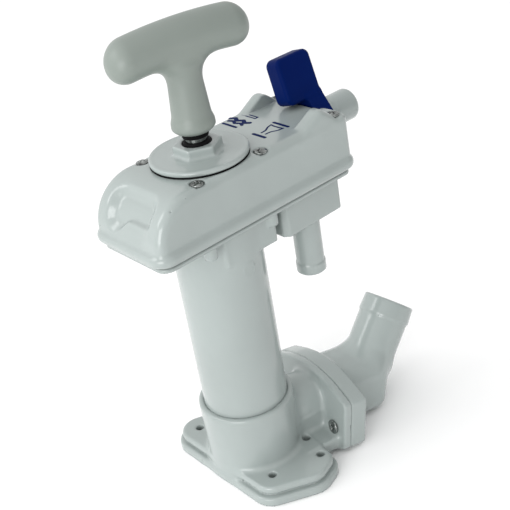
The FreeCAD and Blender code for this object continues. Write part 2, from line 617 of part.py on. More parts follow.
def cover_walls(outer):
    """Walls inside the cover, trimmed to its outside: throat, partitions, screw bosses, outlet pipe."""
    low, tall = "cover_bottom", "cover_top - cover_bottom"
    walls = [
        cylinder("throat_wall", "throat_radius + 3.5", tall, ("0", "0", low)),
        block("partition", ("-1.25", "30", low), ("1.25", "68", "cover_top")),
        block("cross_wall", ("-40", "66", low), ("40", "69", "cover_top")),
        cylinder("outlet_pipe", "hose_radius", "cover_rear - 70", ("rear_tail_x", "67", "rear_tail_level"), Y_AXIS),
        cylinder("notch_wall", "drum_radius + 4.6", "cover_rear - rear_inset - drum_front + 4",
                 ("0", "drum_front - 4", "lever_axis"), Y_AXIS),
        block("notch_sides", ("-drum_radius - 4.6", "drum_front - 4", "lever_axis"),
              ("drum_radius + 4.6", "cover_rear - rear_inset", "cover_top")),
    ]
    walls += [cylinder(f"cover_boss_{i}", "boss_radius", tall, (x, y, low)) for i, (x, y) in enumerate(COVER_SCREWS)]
    return common("cover_walls", fuse("cover_wall_solids", walls), outer)


def cover_openings():
    """Throat for the seal housing, screw holes and seats, notch for the lever's drum, waterways, pin bore."""
    pipe_bore = "cover_rear + 70 - 40"
    tools = [
        cylinder("throat", "throat_radius", "60", ("0", "0", "cover_bottom - 5")),
        cylinder("notch_round", "drum_radius + 1.6", "40", ("0", "drum_front - 1", "lever_axis"), Y_AXIS),
        block("notch_slot", ("-drum_radius - 1.6", "drum_front - 1", "lever_axis"),
              ("drum_radius + 1.6", "drum_front + 39", "cover_top + 20")),
        block("inlet_window", ("5", "16", "cover_bottom + 6"), ("20", "34", "cover_top - 10")),
        cylinder("duct_bore", "hose_bore", pipe_bore, ("rear_tail_x", "60", "rear_tail_level"), Y_AXIS),
        cylinder("pin_bore", "pin_radius + running_gap", "drum_front - 64", ("0", "64", "lever_axis"), Y_AXIS),
    ]
    for i, (x, y) in enumerate(COVER_SCREWS):
        tools.append(cylinder(f"cover_hole_{i}", "screw_shank + 0.15", "80", (x, y, "cover_bottom - 10")))
        tools.append(cylinder(f"cover_seat_{i}", "screw_head + 0.4", "20", (x, y, "screw_seat")))
    return tools


def valve_cover():
    """Long cover with a rounded rim and nose, two shoulders beside the lever and the outlet tail."""
    rim = rounded("rim_rounded", plate("rim", head_plate_lobes("0"), "cover_bottom", "rim_height"),
                  "rim_height * 0.45", lambda edge: at_level(edge, value("cover_bottom + rim_height")) or
                  at_level(edge, value("cover_bottom")))
    low, half = "cover_bottom + 0.4", "cover_half_width - body_inset"
    blank = cover_blank("cover_outside", "0", low, half)
    body = rounded("cover_body", blank, "edge_radius", on_side)
    seat = cylinder("disc_seat", "disc_radius + 0.8", "20", ("0", "0", "cover_top - 20"))
    shoulders = [shoulder("right_shoulder", f"{half} - horn_width - 0.4"),
                 shoulder("left_shoulder", f"-({half}) + 0.4")]
    tail = [cylinder("rear_tail_run", "hose_radius", "rear_tail_end - cover_rear + 6",
                     ("rear_tail_x", "cover_rear - 8", "rear_tail_level"), Y_AXIS),
            cylinder("rear_tail_bead", "rear_bead", "rear_bead_length - 3",
                     ("rear_tail_x", "rear_tail_end - rear_bead_length", "rear_tail_level"), Y_AXIS),
            cone("rear_tail_mouth", "rear_bead", "rear_bead - 2", "3", ("rear_tail_x", "rear_tail_end - 3", "rear_tail_level"), Y_AXIS)]
    skin = fuse("cover_skin", [rim, body, seat] + shoulders)
    room = cover_blank("cover_room", "cover_wall", "cover_bottom - 5", f"{half} - cover_wall")
    shell = cut("cover_shell", skin, [room])
    whole = fuse("cover_whole", [shell, cover_walls(skin)] + tail)
    keep("valve_cover", cut("cover_finished", whole, cover_openings()))


def cover_screws():
    """Six pan-head screws, each through the cover and its boss into the head plate."""
    tip = "cover_bottom - gasket_thickness - plate_thickness + 0.4"
    screws = []
    for i, (x, y) in enumerate(COVER_SCREWS):
        shank = cylinder(f"cover_screw_{i}_shank", "screw_shank", f"screw_seat + 0.5 - ({tip})", (x, y, tip))
        head = rounded(f"cover_screw_{i}_rounded", cylinder(f"cover_screw_{i}_head", "screw_head",
                       "screw_head_height", (x, y, "screw_seat")), "1.4",
                       lambda edge: at_level(edge, value("screw_seat + screw_head_height")))
        screws.append(fuse(f"cover_screw_{i}", [shank, head]))
    keep("cover_screws", compound("cover_screw_set", screws), len(screws))


def compound(name, parts):
    obj = doc.addObject("Part::Compound", name)
    obj.Links = parts
    return obj


# ---------------------------------------------------------------- seal housing

def seal_housing():
    """Disc with a hexagon, screwed into the cover's throat, with the rod's bush, lip seal and O-ring."""
    disc = rounded("disc_rounded", cylinder("disc", "disc_radius", "disc_top - disc_bottom", ("0", "0", "disc_bottom")),
                   "1.8", lambda edge: at_level(edge, value("disc_top")))
    hexagon_top = rounded("hex_rounded", hexagon("hex_boss", "hex_flats", "hex_top - disc_top + 1",
                                                 ("0", "0", "disc_top - 1")), "0.8",
                          lambda edge: at_level(edge, value("hex_top")))
    spigot = cylinder("spigot", "spigot_radius", "disc_bottom - spigot_bottom", ("0", "0", "spigot_bottom"))
    hollow = cut("hollow_ring", cylinder("hollow_outer", "spigot_radius - 3.5", "disc_bottom - spigot_bottom - 2",
                                         ("0", "0", "spigot_bottom - 1")),
                 [cylinder("hollow_inner", "13.5", "40", ("0", "0", "spigot_bottom - 5"))])
    tools = [cylinder("rod_hole", "rod_radius + running_gap", "60", ("0", "0", "spigot_bottom - 5")),
             cylinder("bush_seat", "10.5", "17", ("0", "0", "spigot_bottom - 5")),
             cylinder("seal_seat", "9.5", "10", ("0", "0", "hex_top - 4")), hollow]
    keep("seal_housing", cut("housing_cut", fuse("housing_solids", [disc, hexagon_top, spigot]), tools))
    keep("housing_seal", cut("housing_seal_cut", cylinder("housing_seal_disc", "disc_radius - 0.1",
                                                          "disc_bottom - cover_top", ("0", "0", "cover_top")),
                             [cylinder("housing_seal_hole", "spigot_radius + 0.6", "9", ("0", "0", "cover_top - 4"))]))
    keep("rod_bush", cut("bush_cut", cylinder("bush_outer", "10.5", "12", ("0", "0", "spigot_bottom")),
                         [cylinder("bush_bore", "rod_radius + running_gap", "40", ("0", "0", "spigot_bottom - 9"))]))
    lip = cone("seal_lip", "8.6", "7.9", "1.4", ("0", "0", "hex_top - 0.2"))
    keep("rod_seal", cut("rod_seal_cut", fuse("rod_seal_solids", [
        cylinder("rod_seal_body", "9.5", "3.8", ("0", "0", "hex_top - 4")), lip]),
        [cylinder("rod_seal_bore", "rod_radius + running_gap", "40", ("0", "0", "hex_top - 20"))]))


# ---------------------------------------------------------------- piston, rod and handle

def piston_group():
    """Piston with its O-ring, which slide in the cylinder; the rod can turn in the piston."""
    radius = "tube_radius - tube_wall - 2 * seal_gap"
    middle = "piston_bottom + piston_height / 2"
    blank = cylinder("piston_blank", radius, "piston_height", ("0", "0", "piston_bottom"))
    edged = rounded("piston_rounded", blank, "1", lambda edge: edge.BoundBox.ZLength < 0.01)
    groove = cut("piston_groove", cylinder("groove_disc", "40", "2 * ring_section + 0.6",
                                           ("0", "0", f"{middle} - ring_section - 0.3")),
                 [cylinder("groove_core", "tube_radius - tube_wall - 0.2 - 2 * ring_section", "40",
                           ("0", "0", f"{middle} - 20"))])
    dish = cut("piston_dish", cylinder("dish_disc", "21", "7", ("0", "0", "piston_bottom + piston_height - 5")),
               [cylinder("dish_core", "10", "40", ("0", "0", "piston_bottom"))])
    keep("piston", cut("piston_cut", edged, [groove, dish, cylinder(
        "piston_bore", "rod_thread + running_gap", "60", ("0", "0", "piston_bottom - 9"))]))
    keep("piston_ring", ring("piston_o_ring", "tube_radius - tube_wall - 0.2 - ring_section", "ring_section",
                             ("0", "0", middle)))


def rod_group():
    """Stainless rod with its washers and nut below, bumper and handle above."""
    gap = "0.1"
    shoulder_level = f"piston_bottom + piston_height + {gap}"
    rod = fuse("rod_solids", [
        cylinder("rod_shaft", "rod_radius", f"handle_foot - ({shoulder_level})", ("0", "0", shoulder_level)),
        cylinder("rod_low_thread", "rod_thread", f"{shoulder_level} + 1 - (piston_bottom - 8)",
                 ("0", "0", "piston_bottom - 8")),
        cylinder("rod_top_thread", "rod_thread", "32", ("0", "0", "handle_foot - 1"))])
    keep("piston_rod", rod)
    keep("piston_washer", cut("piston_washer_cut", cylinder("piston_washer_disc", "10", "1.4",
                                                            ("0", "0", f"piston_bottom - 1.4 - {gap}")),
                              [cylinder("piston_washer_hole", "rod_thread", "9", ("0", "0", "piston_bottom - 6"))]))
    keep("piston_nut", cut("piston_nut_cut", hexagon("piston_nut_hex", "15", "5.5",
                                                     ("0", "0", f"piston_bottom - 1.4 - 5.5 - {gap}")),
                           [cylinder("piston_nut_hole", "rod_thread", "19", ("0", "0", "piston_bottom - 16"))]))
    keep("handle_bumper", cut("bumper_cut", cone("bumper_body", "bumper_radius - 0.8", "bumper_radius", "3.4",
                                                 ("0", "0", "handle_foot - 3.4")),
                              [cylinder("bumper_hole", "rod_radius", "19", ("0", "0", "handle_foot - 9"))]))
    keep("handle", handle())


def handle():
    """Tee handle: round foot, slender neck and a thick grip with round ends."""
    turn = math.radians(value("grip_turn"))
    grip_way = Vector(math.cos(turn), math.sin(turn), 0)
    centre = Z_AXIS * value("grip_level")
    reach = value("grip_half") - value("grip_radius")
    grip = bind(doc.addObject("Part::Cylinder", "grip"), Radius="grip_radius", Height="2 * (grip_half - grip_radius)")
    moved(grip, centre - grip_way * reach, along(grip_way))
    ends = []
    for i, side in enumerate((-1, 1)):
        ball = bind(doc.addObject("Part::Sphere", f"grip_end_{i}"), Radius="grip_radius")
        ends.append(moved(ball, centre + grip_way * side * reach))
    foot = rounded("foot_rounded", cylinder("handle_foot_disc", "foot_radius", "7", ("0", "0", "handle_foot")), "4.4",
                   lambda edge: at_level(edge, value("handle_foot")))
    neck = cone("handle_neck", "foot_radius", "neck_narrow", "33", ("0", "0", "handle_foot + 6.9"))
    root = cone("handle_root", "neck_narrow", "grip_radius", "18", ("0", "0", "handle_foot + 39.8"))
    bore = cylinder("handle_bore", "rod_thread", "33", ("0", "0", "handle_foot - 1"))
    return cut("handle_cut", fuse("handle_solids", [grip, foot, neck, root] + ends), [bore])


# ---------------------------------------------------------------- lever, cam and bypass valve

def lever_placement():
    """Rest place of what is modelled upright about the lever's pin."""
    return Placement(Z_AXIS * value("lever_axis"), Rotation(Y_AXIS, -value("lever_lean")))


def flush_lever():
    """Broad paddle on a drum, with a skirt that covers the slot; the pin runs along Y."""
    blank = across("paddle", rectangle("paddle_front", "paddle_low", "paddle_rear", "paddle_high", "5"),
                   "-paddle_thickness / 2", "paddle_thickness")
    paddle = rounded("paddle_rounded", blank, "2.2", on_side)
    skirt = plate("lever_skirt", [("0", "0", "drum_radius"), ("6.2", "paddle_low + 1.8", "1"),
                                  ("-6.2", "paddle_low + 1.8", "1")], "0", "drum_rear - drum_front",
                  Placement(Y_AXIS * value("drum_rear"), Rotation(X_AXIS, Z_AXIS, Y_AXIS * -1, "ZXY")))
    bore = cylinder("lever_bore", "pin_radius", "drum_rear - drum_front + 19", ("0", "drum_front - 20", "0"), Y_AXIS)
    lever = cut("lever_cut", fuse("lever_solids", [paddle, skirt]), [bore])
    pin = cylinder("pin", "pin_radius", "drum_rear - 1.2 - 66.4", ("0", "66.4", "0"), Y_AXIS)
    disc = cut("cam_disc_cut", cylinder("cam_disc", "cam_radius", "cam_width", ("cam_offset", "cam_front", "0"), Y_AXIS),
               [block("cam_top", ("-20", "cam_front - 1", "cam_flat"), ("20", "cam_front + cam_width + 1", "20"))])
    cam = cut("cam_cut", fuse("cam_solids", [
        disc,
        cylinder("cam_hub", "pin_radius + 2.2", "drum_front - 4.6 - cam_front", ("0", "cam_front", "0"), Y_AXIS)]),
        [cylinder("cam_bore", "pin_radius", "40", ("0", "cam_front - 20", "0"), Y_AXIS)])
    for node, obj in (("flush_lever", lever), ("lever_pin", pin), ("lever_cam", cam)):
        keep(node, compound(node + "_set", [obj]))
        kept[node][0].Placement = lever_placement()


def bypass_valve():
    """Stem that the cam pushes down, its poppet under the seat, and the spring that lifts it."""
    web_low = "chest_bottom + 17 - 2.5"
    cap_top = value("lever_axis") + value("cam_offset") * math.sin(math.radians(value("lever_lean"))) \
        - value("cam_radius") - value("seal_gap")
    at = ("stem_x", "stem_y")
    low = value(web_low) - 5
    keep("bypass_stem", fuse("stem_solids", [
        cylinder("stem", "stem_radius", cap_top - low, (*at, low)),
        cylinder("stem_button", "5.5", "2.2", (*at, cap_top - 2.2))]))
    keep("bypass_poppet", cut("poppet_cut", cylinder("poppet_disc", "4", "2.4", (*at, f"{web_low} - 2.45")),
                              [cylinder("poppet_hole", "stem_radius", "9", (*at, f"{web_low} - 6"))]))
    start = value("cover_bottom - gasket_thickness") + 8.5
    wire, coil, turns = 0.45, 3.6, 5
    height = cap_top - 2.2 - start - 2 * wire
    helix = Part.makeHelix(height / turns, height, coil)
    section = Part.Wire(Part.makeCircle(wire, Vector(coil, 0, 0), Y_AXIS))
    spring = doc.addObject("Part::Feature", "valve_spring_wire")
    spring.Shape = Part.Wire(helix).makePipeShell([section], True, True)
    spring.Placement = Placement(Vector(value("stem_x"), value("stem_y"), start + wire), Rotation())
    keep("valve_spring", spring)


# ---------------------------------------------------------------- discharge elbow

def elbow_run(name, radius, tail_radius, before, tail_length):
    """Straight body, bend and tail of the elbow as solids, from the flange to the end of the tail."""
    start = PORT_CENTRE + FLANGE_NORMAL * (value("flange_base") - before)
    straight = value("flange_elbow + elbow_start") + before
    bend = value("elbow_bend")
    corner = start + FLANGE_NORMAL * straight
    centre = corner + BEND_UP * bend
    body = moved(bind(doc.addObject("Part::Cylinder", name + "_body"), Radius=radius, Height=straight),
                 start, along(FLANGE_NORMAL))
    elbow = bind(doc.addObject("Part::Torus", name + "_bend"), Radius1="elbow_bend", Radius2=radius,
                 Angle3="tail_turn")
    moved(elbow, centre, Rotation(BEND_UP * -1, FLANGE_NORMAL, FLANGE_NORMAL.cross(BEND_UP), "ZXY"))
    tail_start = centre + (FLANGE_NORMAL * math.sin(TURN_ANGLE) - BEND_UP * math.cos(TURN_ANGLE)) * bend
    tail = moved(bind(doc.addObject("Part::Cylinder", name + "_tail"), Radius=tail_radius, Height=tail_length),
                 tail_start, along(TAIL_DIRECTION))
    return [body, elbow, tail], tail_start


def chamber_lobes(wall):
    """Corners of the elbow's chamber in the flange plane, drawn in by a wall."""
    rows = ("port_rise - chamber_y", "port_rise + chamber_y")
    corner = f"chamber_corner - {wall}"
    return [("chamber_x", rows[0], corner), ("chamber_x", rows[1], corner), ("-chamber_x", rows[1], corner),
            ("-chamber_x", rows[0], corner)]


def elbow_chamber(where):
    """Wide flat-bottomed chamber over the joint, and the room inside it."""
    end = where.multVec(Z_AXIS * value("chamber_length"))
    soft = rounded("chamber_rounded", plate("chamber_block", chamber_lobes("0"), "0", "chamber_length", where), "11",
                   lambda edge: abs((edge.CenterOfMass - end).dot(FLANGE_NORMAL)) < 0.01)
    under = block("chamber_under", ("-90", "0", "-60"), ("90", "200", "chamber_floor"))
    inside = Placement(where.multVec(Z_AXIS * value("flange_elbow")), FLANGE_TURN)
    room = plate("chamber_room", chamber_lobes("chamber_wall"), "0", "chamber_length - flange_elbow - 6", inside)
    return cut("elbow_chamber", soft, [under]), room


def discharge_elbow():
    """Flanged elbow with a barbed tail, its screws and nuts, and the joker valve clamped behind it."""
    where = Placement(FLANGE_CENTRE + FLANGE_NORMAL * value("flange_base"), FLANGE_TURN)
    flange = plate("flange_on_elbow", flange_lobes(), "0", "flange_elbow", where)
    chamber, room = elbow_chamber(where)
    outer, tail_start = elbow_run("elbow", "elbow_radius", "tail_radius", 0, "tail_run - tail_barb_length + 1")
    inner, _ = elbow_run("elbow_bore", "elbow_bore", "elbow_bore", 3, "tail_run + 5")
    barb_start = tail_start + TAIL_DIRECTION * (value("tail_run") - value("tail_barb_length"))
    barb = moved(bind(doc.addObject("Part::Cone", "tail_barb_cone"), Radius1="tail_barb", Radius2="tail_radius - 0.6",
                      Height="tail_barb_length"), barb_start, along(TAIL_DIRECTION))
    recess = moved(bind(doc.addObject("Part::Cylinder", "joker_recess"), Radius="18.5", Height="2.8"),
                   PORT_CENTRE + FLANGE_NORMAL * (value("flange_base") - 0.3), along(FLANGE_NORMAL))
    tools = inner + [recess, room]
    for i, spot in enumerate(elbow_screw_places()):
        hole = bind(doc.addObject("Part::Cylinder", f"elbow_screw_hole_{i}"), Radius="2.6", Height="40")
        tools.append(moved(hole, spot - FLANGE_NORMAL * 5, along(FLANGE_NORMAL)))
    keep("discharge_elbow", cut("elbow_cut", fuse("elbow_solids", [flange, chamber, barb] + outer), tools))
    elbow_fasteners()
    joker_valve()


def elbow_fasteners():
    """Two pan-head screws on the cylinder's side of the flange, and their nuts on the elbow's side."""
    grip = value("flange_base + flange_elbow")
    screws, washers, nuts = [], [], []
    for i, spot in enumerate(elbow_screw_places()):
        shank = moved(bind(doc.addObject("Part::Cylinder", f"elbow_screw_{i}_shank"), Radius="2.5",
                           Height="flange_base + flange_elbow + 7"), spot, along(FLANGE_NORMAL))
        head = rounded(f"elbow_screw_{i}_rounded", moved(bind(doc.addObject(
            "Part::Cylinder", f"elbow_screw_{i}_head"), Radius="5.2", Height="3.1"),
            spot, along(FLANGE_NORMAL * -1)), "1.8", far_edge(spot - FLANGE_NORMAL * 3.1))
        screws.append(fuse(f"elbow_screw_{i}", [shank, head]))
        nut = bind(doc.addObject("Part::Prism", f"elbow_nut_{i}_hex"), Circumradius="8 / sqrt(3)", Height="4.2")
        nut.Polygon = 6
        moved(nut, spot + FLANGE_NORMAL * (grip + 1), FLANGE_TURN)
        washer = moved(bind(doc.addObject("Part::Cylinder", f"elbow_washer_{i}_disc"), Radius="5.2", Height="1"),
                       spot + FLANGE_NORMAL * grip, along(FLANGE_NORMAL))
        thread = moved(bind(doc.addObject("Part::Cylinder", f"elbow_nut_{i}_hole"), Radius="2.5", Height="30"),
                       spot + FLANGE_NORMAL * (grip - 5), along(FLANGE_NORMAL))
        nuts.append(cut(f"elbow_nut_{i}", nut, [thread]))
        washers.append(cut(f"elbow_washer_{i}", washer, [thread]))
    keep("elbow_screws", compound("elbow_screw_set", screws), 2)
    keep("elbow_nuts", compound("elbow_nut_set", nuts), 2)
    keep("elbow_washers", compound("elbow_washer_set", washers), 2)


def far_edge(spot):
    """Test for a round edge whose centre is at a place."""
    return lambda edge: hasattr(edge.Curve, "Center") and (edge.Curve.Center - spot).Length < 0.01


def joker_valve():
    """Rubber duckbill: a flange clamped behind the elbow and a sleeve that narrows to flat lips."""
    start = PORT_CENTRE + FLANGE_NORMAL * value("flange_base")
    turn = Rotation(SIDEWAYS * -1, FLANGE_UP, FLANGE_NORMAL, "ZXY")
    rim = moved(bind(doc.addObject("Part::Cylinder", "joker_rim"), Radius="18.3", Height="2.5"), start, turn)
    sleeves = []
    for name, wide, lip_wide, lip_high, low, length in (("joker_outer", 14.6, 13.8, 2.4, 0, 26),
                                                        ("joker_inner", 12.8, 12.2, 0.7, -1, 28)):
        circle = Part.Wire(Part.makeCircle(wide, Vector(0, 0, low)))
        lips = Part.Ellipse(Vector(0, 0, length), lip_wide, lip_high)
        lips_wire = Part.Wire(lips.toShape())
        sleeve = doc.addObject("Part::Feature", name)
        sleeve.Shape = Part.makeLoft([circle, lips_wire], True, True)
        sleeves.append(moved(sleeve, start, turn))
    keep("joker_valve", cut("joker_cut", fuse("joker_solids", [rim, sleeves[0]]), [sleeves[1]]))


# ---------------------------------------------------------------- build, check and write

def build():
    base_casting()
    cylinder_seal()
    lower_valve()
    pump_cylinder()
    stem_seal()
    upper_valves()
    valve_cover()
    cover_screws()
    seal_housing()
    piston_group()
    rod_group()
    flush_lever()
    bypass_valve()
    discharge_elbow()
    doc.recompute()


def check():
    """Stops if an object failed, or if a kept sub-part isn't the closed solids that it should be."""
    failed = [obj.Name for obj in doc.Objects if "Invalid" in obj.State or "Error" in obj.State]
    if failed:
        raise RuntimeError(f"these objects failed: {failed}")
    for node, (obj, solids) in kept.items():
        shape = obj.Shape
        if shape.isNull() or not shape.isValid() or len(shape.Solids) != solids or shape.Volume <= 0:
            raise RuntimeError(f"{node}: {len(shape.Solids)} solids, volume {shape.Volume:.1f}")


def write():
    os.makedirs("parts", exist_ok=True)
    for node, (obj, solids) in kept.items():
        obj.Shape.exportStep(f"parts/{node}.step")
        box = obj.Shape.BoundBox
        print(f"{node:22s} {obj.Shape.Volume / 1000:8.2f} cm3  x {box.XMin:7.1f} {box.XMax:7.1f}"
              f"  y {box.YMin:7.1f} {box.YMax:7.1f}  z {box.ZMin:7.1f} {box.ZMax:7.1f}")
    print(len(kept), "sub-parts")


build()
check()
write()
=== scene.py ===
import json
import math

import bpy
import numpy as np
from mathutils import Matrix, Vector


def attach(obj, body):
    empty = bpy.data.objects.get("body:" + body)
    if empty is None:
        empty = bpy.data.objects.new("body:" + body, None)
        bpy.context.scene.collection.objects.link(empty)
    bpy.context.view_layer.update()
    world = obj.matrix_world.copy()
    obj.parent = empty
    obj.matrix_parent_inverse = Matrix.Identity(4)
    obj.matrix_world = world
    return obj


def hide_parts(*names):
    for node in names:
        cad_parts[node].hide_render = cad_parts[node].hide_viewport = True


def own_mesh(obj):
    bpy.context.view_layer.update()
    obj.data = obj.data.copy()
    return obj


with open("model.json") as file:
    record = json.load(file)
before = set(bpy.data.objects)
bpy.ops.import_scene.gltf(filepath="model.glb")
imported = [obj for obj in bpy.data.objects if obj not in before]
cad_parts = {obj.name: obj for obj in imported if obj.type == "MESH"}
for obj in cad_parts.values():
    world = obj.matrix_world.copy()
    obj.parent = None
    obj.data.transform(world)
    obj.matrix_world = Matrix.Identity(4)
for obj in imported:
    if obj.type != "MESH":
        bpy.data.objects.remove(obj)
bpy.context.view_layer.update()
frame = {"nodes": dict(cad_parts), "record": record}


# ---------------------------------------------------------------- materials

def new_material(name, color, roughness, specular=0.5, metallic=0.0, coat=0.0):
    """A principled material; returns it with its nodes, links and shader."""
    material = bpy.data.materials.new(name)
    material.use_nodes = True
    nodes, links = material.node_tree.nodes, material.node_tree.links
    shader = nodes["Principled BSDF"]
    shader.inputs["Base Color"].default_value = (*color, 1)
    shader.inputs["Roughness"].default_value = roughness
    shader.inputs["Metallic"].default_value = metallic
    shader.inputs["Specular IOR Level"].default_value = specular
    shader.inputs["Coat Weight"].default_value = coat
    shader.inputs["Coat Roughness"].default_value = 0.12
    return material, nodes, links, shader


def noise(nodes, links, scale, detail=3.0, stretch=(1, 1, 1)):
    """Noise in object space, which is the frame's own space."""
    place = nodes.new("ShaderNodeTexCoord")
    mapping = nodes.new("ShaderNodeMapping")
    mapping.inputs["Scale"].default_value = stretch
    texture = nodes.new("ShaderNodeTexNoise")
    texture.inputs["Scale"].default_value = scale
    texture.inputs["Detail"].default_value = detail
    links.new(place.outputs["Object"], mapping.inputs["Vector"])
    links.new(mapping.outputs["Vector"], texture.inputs["Vector"])
    return texture


def ramp(nodes, links, value, stops):
    """A colour ramp of (position, colour) stops fed by a value."""
    colors = nodes.new("ShaderNodeValToRGB")
    while len(colors.color_ramp.elements) < len(stops):
        colors.color_ramp.elements.new(0.5)
    for element, (position, color) in zip(colors.color_ramp.elements, stops):
        element.position = position
        element.color = (*color, 1)
    links.new(value, colors.inputs["Fac"])
    return colors


def spread(nodes, links, value, low, high):
    """A value from 0 to 1 spread over a range."""
    mapped = nodes.new("ShaderNodeMapRange")
    mapped.inputs["To Min"].default_value = low
    mapped.inputs["To Max"].default_value = high
    links.new(value, mapped.inputs["Value"])
    return mapped


def bump(nodes, links, height, strength, distance):
    """A bump of a distance in metres from a texture's value."""
    node = nodes.new("ShaderNodeBump")
    node.inputs["Strength"].default_value = strength
    node.inputs["Distance"].default_value = distance
    links.new(height.outputs["Fac"], node.inputs["Height"])
    return node


def moulded_plastic(name, base, shade, roughness, coat=0.0, specular=0.5):
    """Moulded plastic: slow unevenness of colour and gloss, flow ripples, and a very fine grain."""
    material, nodes, links, shader = new_material(name, base, roughness, specular, coat=coat)
    slow = noise(nodes, links, 14, 4)
    tint = ramp(nodes, links, slow.outputs["Fac"], [(0.3, shade), (0.62, base)])
    links.new(tint.outputs["Color"], shader.inputs["Base Color"])
    smudge = noise(nodes, links, 60, 5)
    gloss = spread(nodes, links, smudge.outputs["Fac"], roughness * 0.75, roughness * 1.35)
    links.new(gloss.outputs["Result"], shader.inputs["Roughness"])
    ripple = bump(nodes, links, noise(nodes, links, 55, 2), 0.35, 0.00025)
    grain = bump(nodes, links, noise(nodes, links, 1400, 2), 0.4, 0.00006)
    links.new(ripple.outputs["Normal"], grain.inputs["Normal"])
    links.new(grain.outputs["Normal"], shader.inputs["Normal"])
    return material


def metal(name, base, dark, roughness, stretch):
    """Machined metal: fine lines along the turning direction and dull spots."""
    material, nodes, links, shader = new_material(name, base, roughness, metallic=1.0)
    lines = noise(nodes, links, 260, 3, stretch)
    tint = ramp(nodes, links, lines.outputs["Fac"], [(0.25, dark), (0.7, base)])
    links.new(tint.outputs["Color"], shader.inputs["Base Color"])
    gloss = spread(nodes, links, lines.outputs["Fac"], roughness * 0.6, roughness * 1.5)
    links.new(gloss.outputs["Result"], shader.inputs["Roughness"])
    links.new(bump(nodes, links, lines, 0.3, 0.00005).outputs["Normal"], shader.inputs["Normal"])
    return material


def rubber(name, base, shade, roughness):
    """Black rubber with a fine pebble and dusty patches."""
    material, nodes, links, shader = new_material(name, base, roughness, specular=0.08)
    dust = noise(nodes, links, 120, 5)
    tint = ramp(nodes, links, dust.outputs["Fac"], [(0.35, base), (0.75, shade)])
    links.new(tint.outputs["Color"], shader.inputs["Base Color"])
    pebble = bump(nodes, links, noise(nodes, links, 2200, 2), 0.5, 0.0001)
    links.new(pebble.outputs["Normal"], shader.inputs["Normal"])
    return material


WHITE = moulded_plastic("white_gloss_plastic", (0.328, 0.37, 0.36), (0.302, 0.34, 0.33), 0.19, coat=0.3)
HANDLE = moulded_plastic("handle_satin_plastic", (0.215, 0.246, 0.224), (0.195, 0.224, 0.204), 0.38)
BLUE = moulded_plastic("blue_lever_plastic", (0.0001, 0.0095, 0.09), (0.0001, 0.0068, 0.074), 0.4,
                       specular=0.04)
MARKING = moulded_plastic("blue_marking", (0.0005, 0.009, 0.07), (0.0004, 0.007, 0.058), 0.5, specular=0.05)
STEEL = metal("stainless_steel", (0.40, 0.42, 0.41), (0.02, 0.021, 0.02), 0.11, (1, 1, 0.05))
BRASS = metal("valve_weight_brass", (0.55, 0.42, 0.2), (0.35, 0.26, 0.12), 0.3, (1, 1, 0.2))
BLACK = rubber("black_rubber", (0.003, 0.003, 0.0033), (0.008, 0.008, 0.0085), 0.6)
# The upper gasket is painted olive grey instead of its own black rubber. This is painted shade: the colour of
# the thin shadow line under the cover's rim.
SHADOW_LINE_GASKET = rubber("gasket_painted_shadow_line", (0.15, 0.165, 0.155), (0.2, 0.215, 0.205), 0.6)
ACETAL = moulded_plastic("piston_acetal", (0.62, 0.62, 0.58), (0.56, 0.56, 0.52), 0.45)
SLOT_MATERIALS = {"white_plastic": WHITE, "handle_plastic": HANDLE, "blue_plastic": BLUE, "stainless": STEEL,
                  "valve_weight": BRASS, "black_rubber": BLACK, "acetal": ACETAL}

for subpart in frame["record"]["subparts"]:
    node = frame["nodes"][subpart["node"]]
    node.data.materials.clear()
    # The upper gasket gets the painted shadow-line grey in place of its black rubber.
    material = SHADOW_LINE_GASKET if subpart["node"] == "upper_valve_gasket" else SLOT_MATERIALS[subpart["material_slot"]]
    node.data.materials.append(material)


# ---------------------------------------------------------------- solid forms as distance fields, in mm

def length(v):
    """Lengths of vectors held in the last axis."""
    return np.sqrt((v * v).sum(-1))


def unit(v):
    """A vector brought to length 1."""
    return np.array(v, float) / np.linalg.norm(v)


def edged(side, end, edge):
    """Joins the distance to a side wall and to an end face, with a rounded edge between them."""
    a, b = side + edge, end + edge
    return np.minimum(np.maximum(a, b), 0) + np.hypot(np.maximum(a, 0), np.maximum(b, 0)) - edge


def meet(a, b, soft):
    """Union of two fields with a fillet."""
    h = np.clip(0.5 + 0.5 * (b - a) / soft, 0, 1)
    return b * (1 - h) + a * h - soft * h * (1 - h)


def carve(a, b, soft=0.01):
    """Field a without field b, with a softened edge."""
    return -meet(-a, b, soft)


def rod(p, a, b, radius, edge=0.0, end_radius=None):
    """Cylinder or cone from point a to point b."""
    a, b = np.array(a, float), np.array(b, float)
    span = np.linalg.norm(b - a)
    way = (b - a) / span
    along = (p - a) @ way
    radial = length((p - a) - along[..., None] * way)
    slope = 0.0 if end_radius is None else (end_radius - radius) / span
    side = (radial - radius - slope * along) / math.hypot(1, slope)
    return edged(side, np.abs(along - span / 2) - span / 2, edge)


def post(p, place, low, high, radius, edge=0.0, end_radius=None):
    """Upright cylinder or cone at a place in x and y, between two levels."""
    return rod(p, (*place, low), (*place, high), radius, edge, end_radius)


def pipe(p, x, level, front, rear, radius, edge=0.0):
    """Level cylinder along y."""
    return rod(p, (x, front, level), (x, rear, level), radius, edge)


def brick(p, low, high, edge=0.0):
    """Box between two corners."""
    low, high = np.array(low, float), np.array(high, float)
    q = np.abs(p - (low + high) / 2) - (high - low) / 2 + edge
    return length(np.maximum(q, 0)) + np.minimum(q.max(-1), 0) - edge


def ball(p, centre, radii):
    """Ellipsoid, its distance scaled to be near the true one."""
    radii = np.array(radii, float)
    q = (p - np.array(centre, float)) / radii
    k = length(q)
    return k * (k - 1) / np.maximum(length(q / radii), 1e-9)


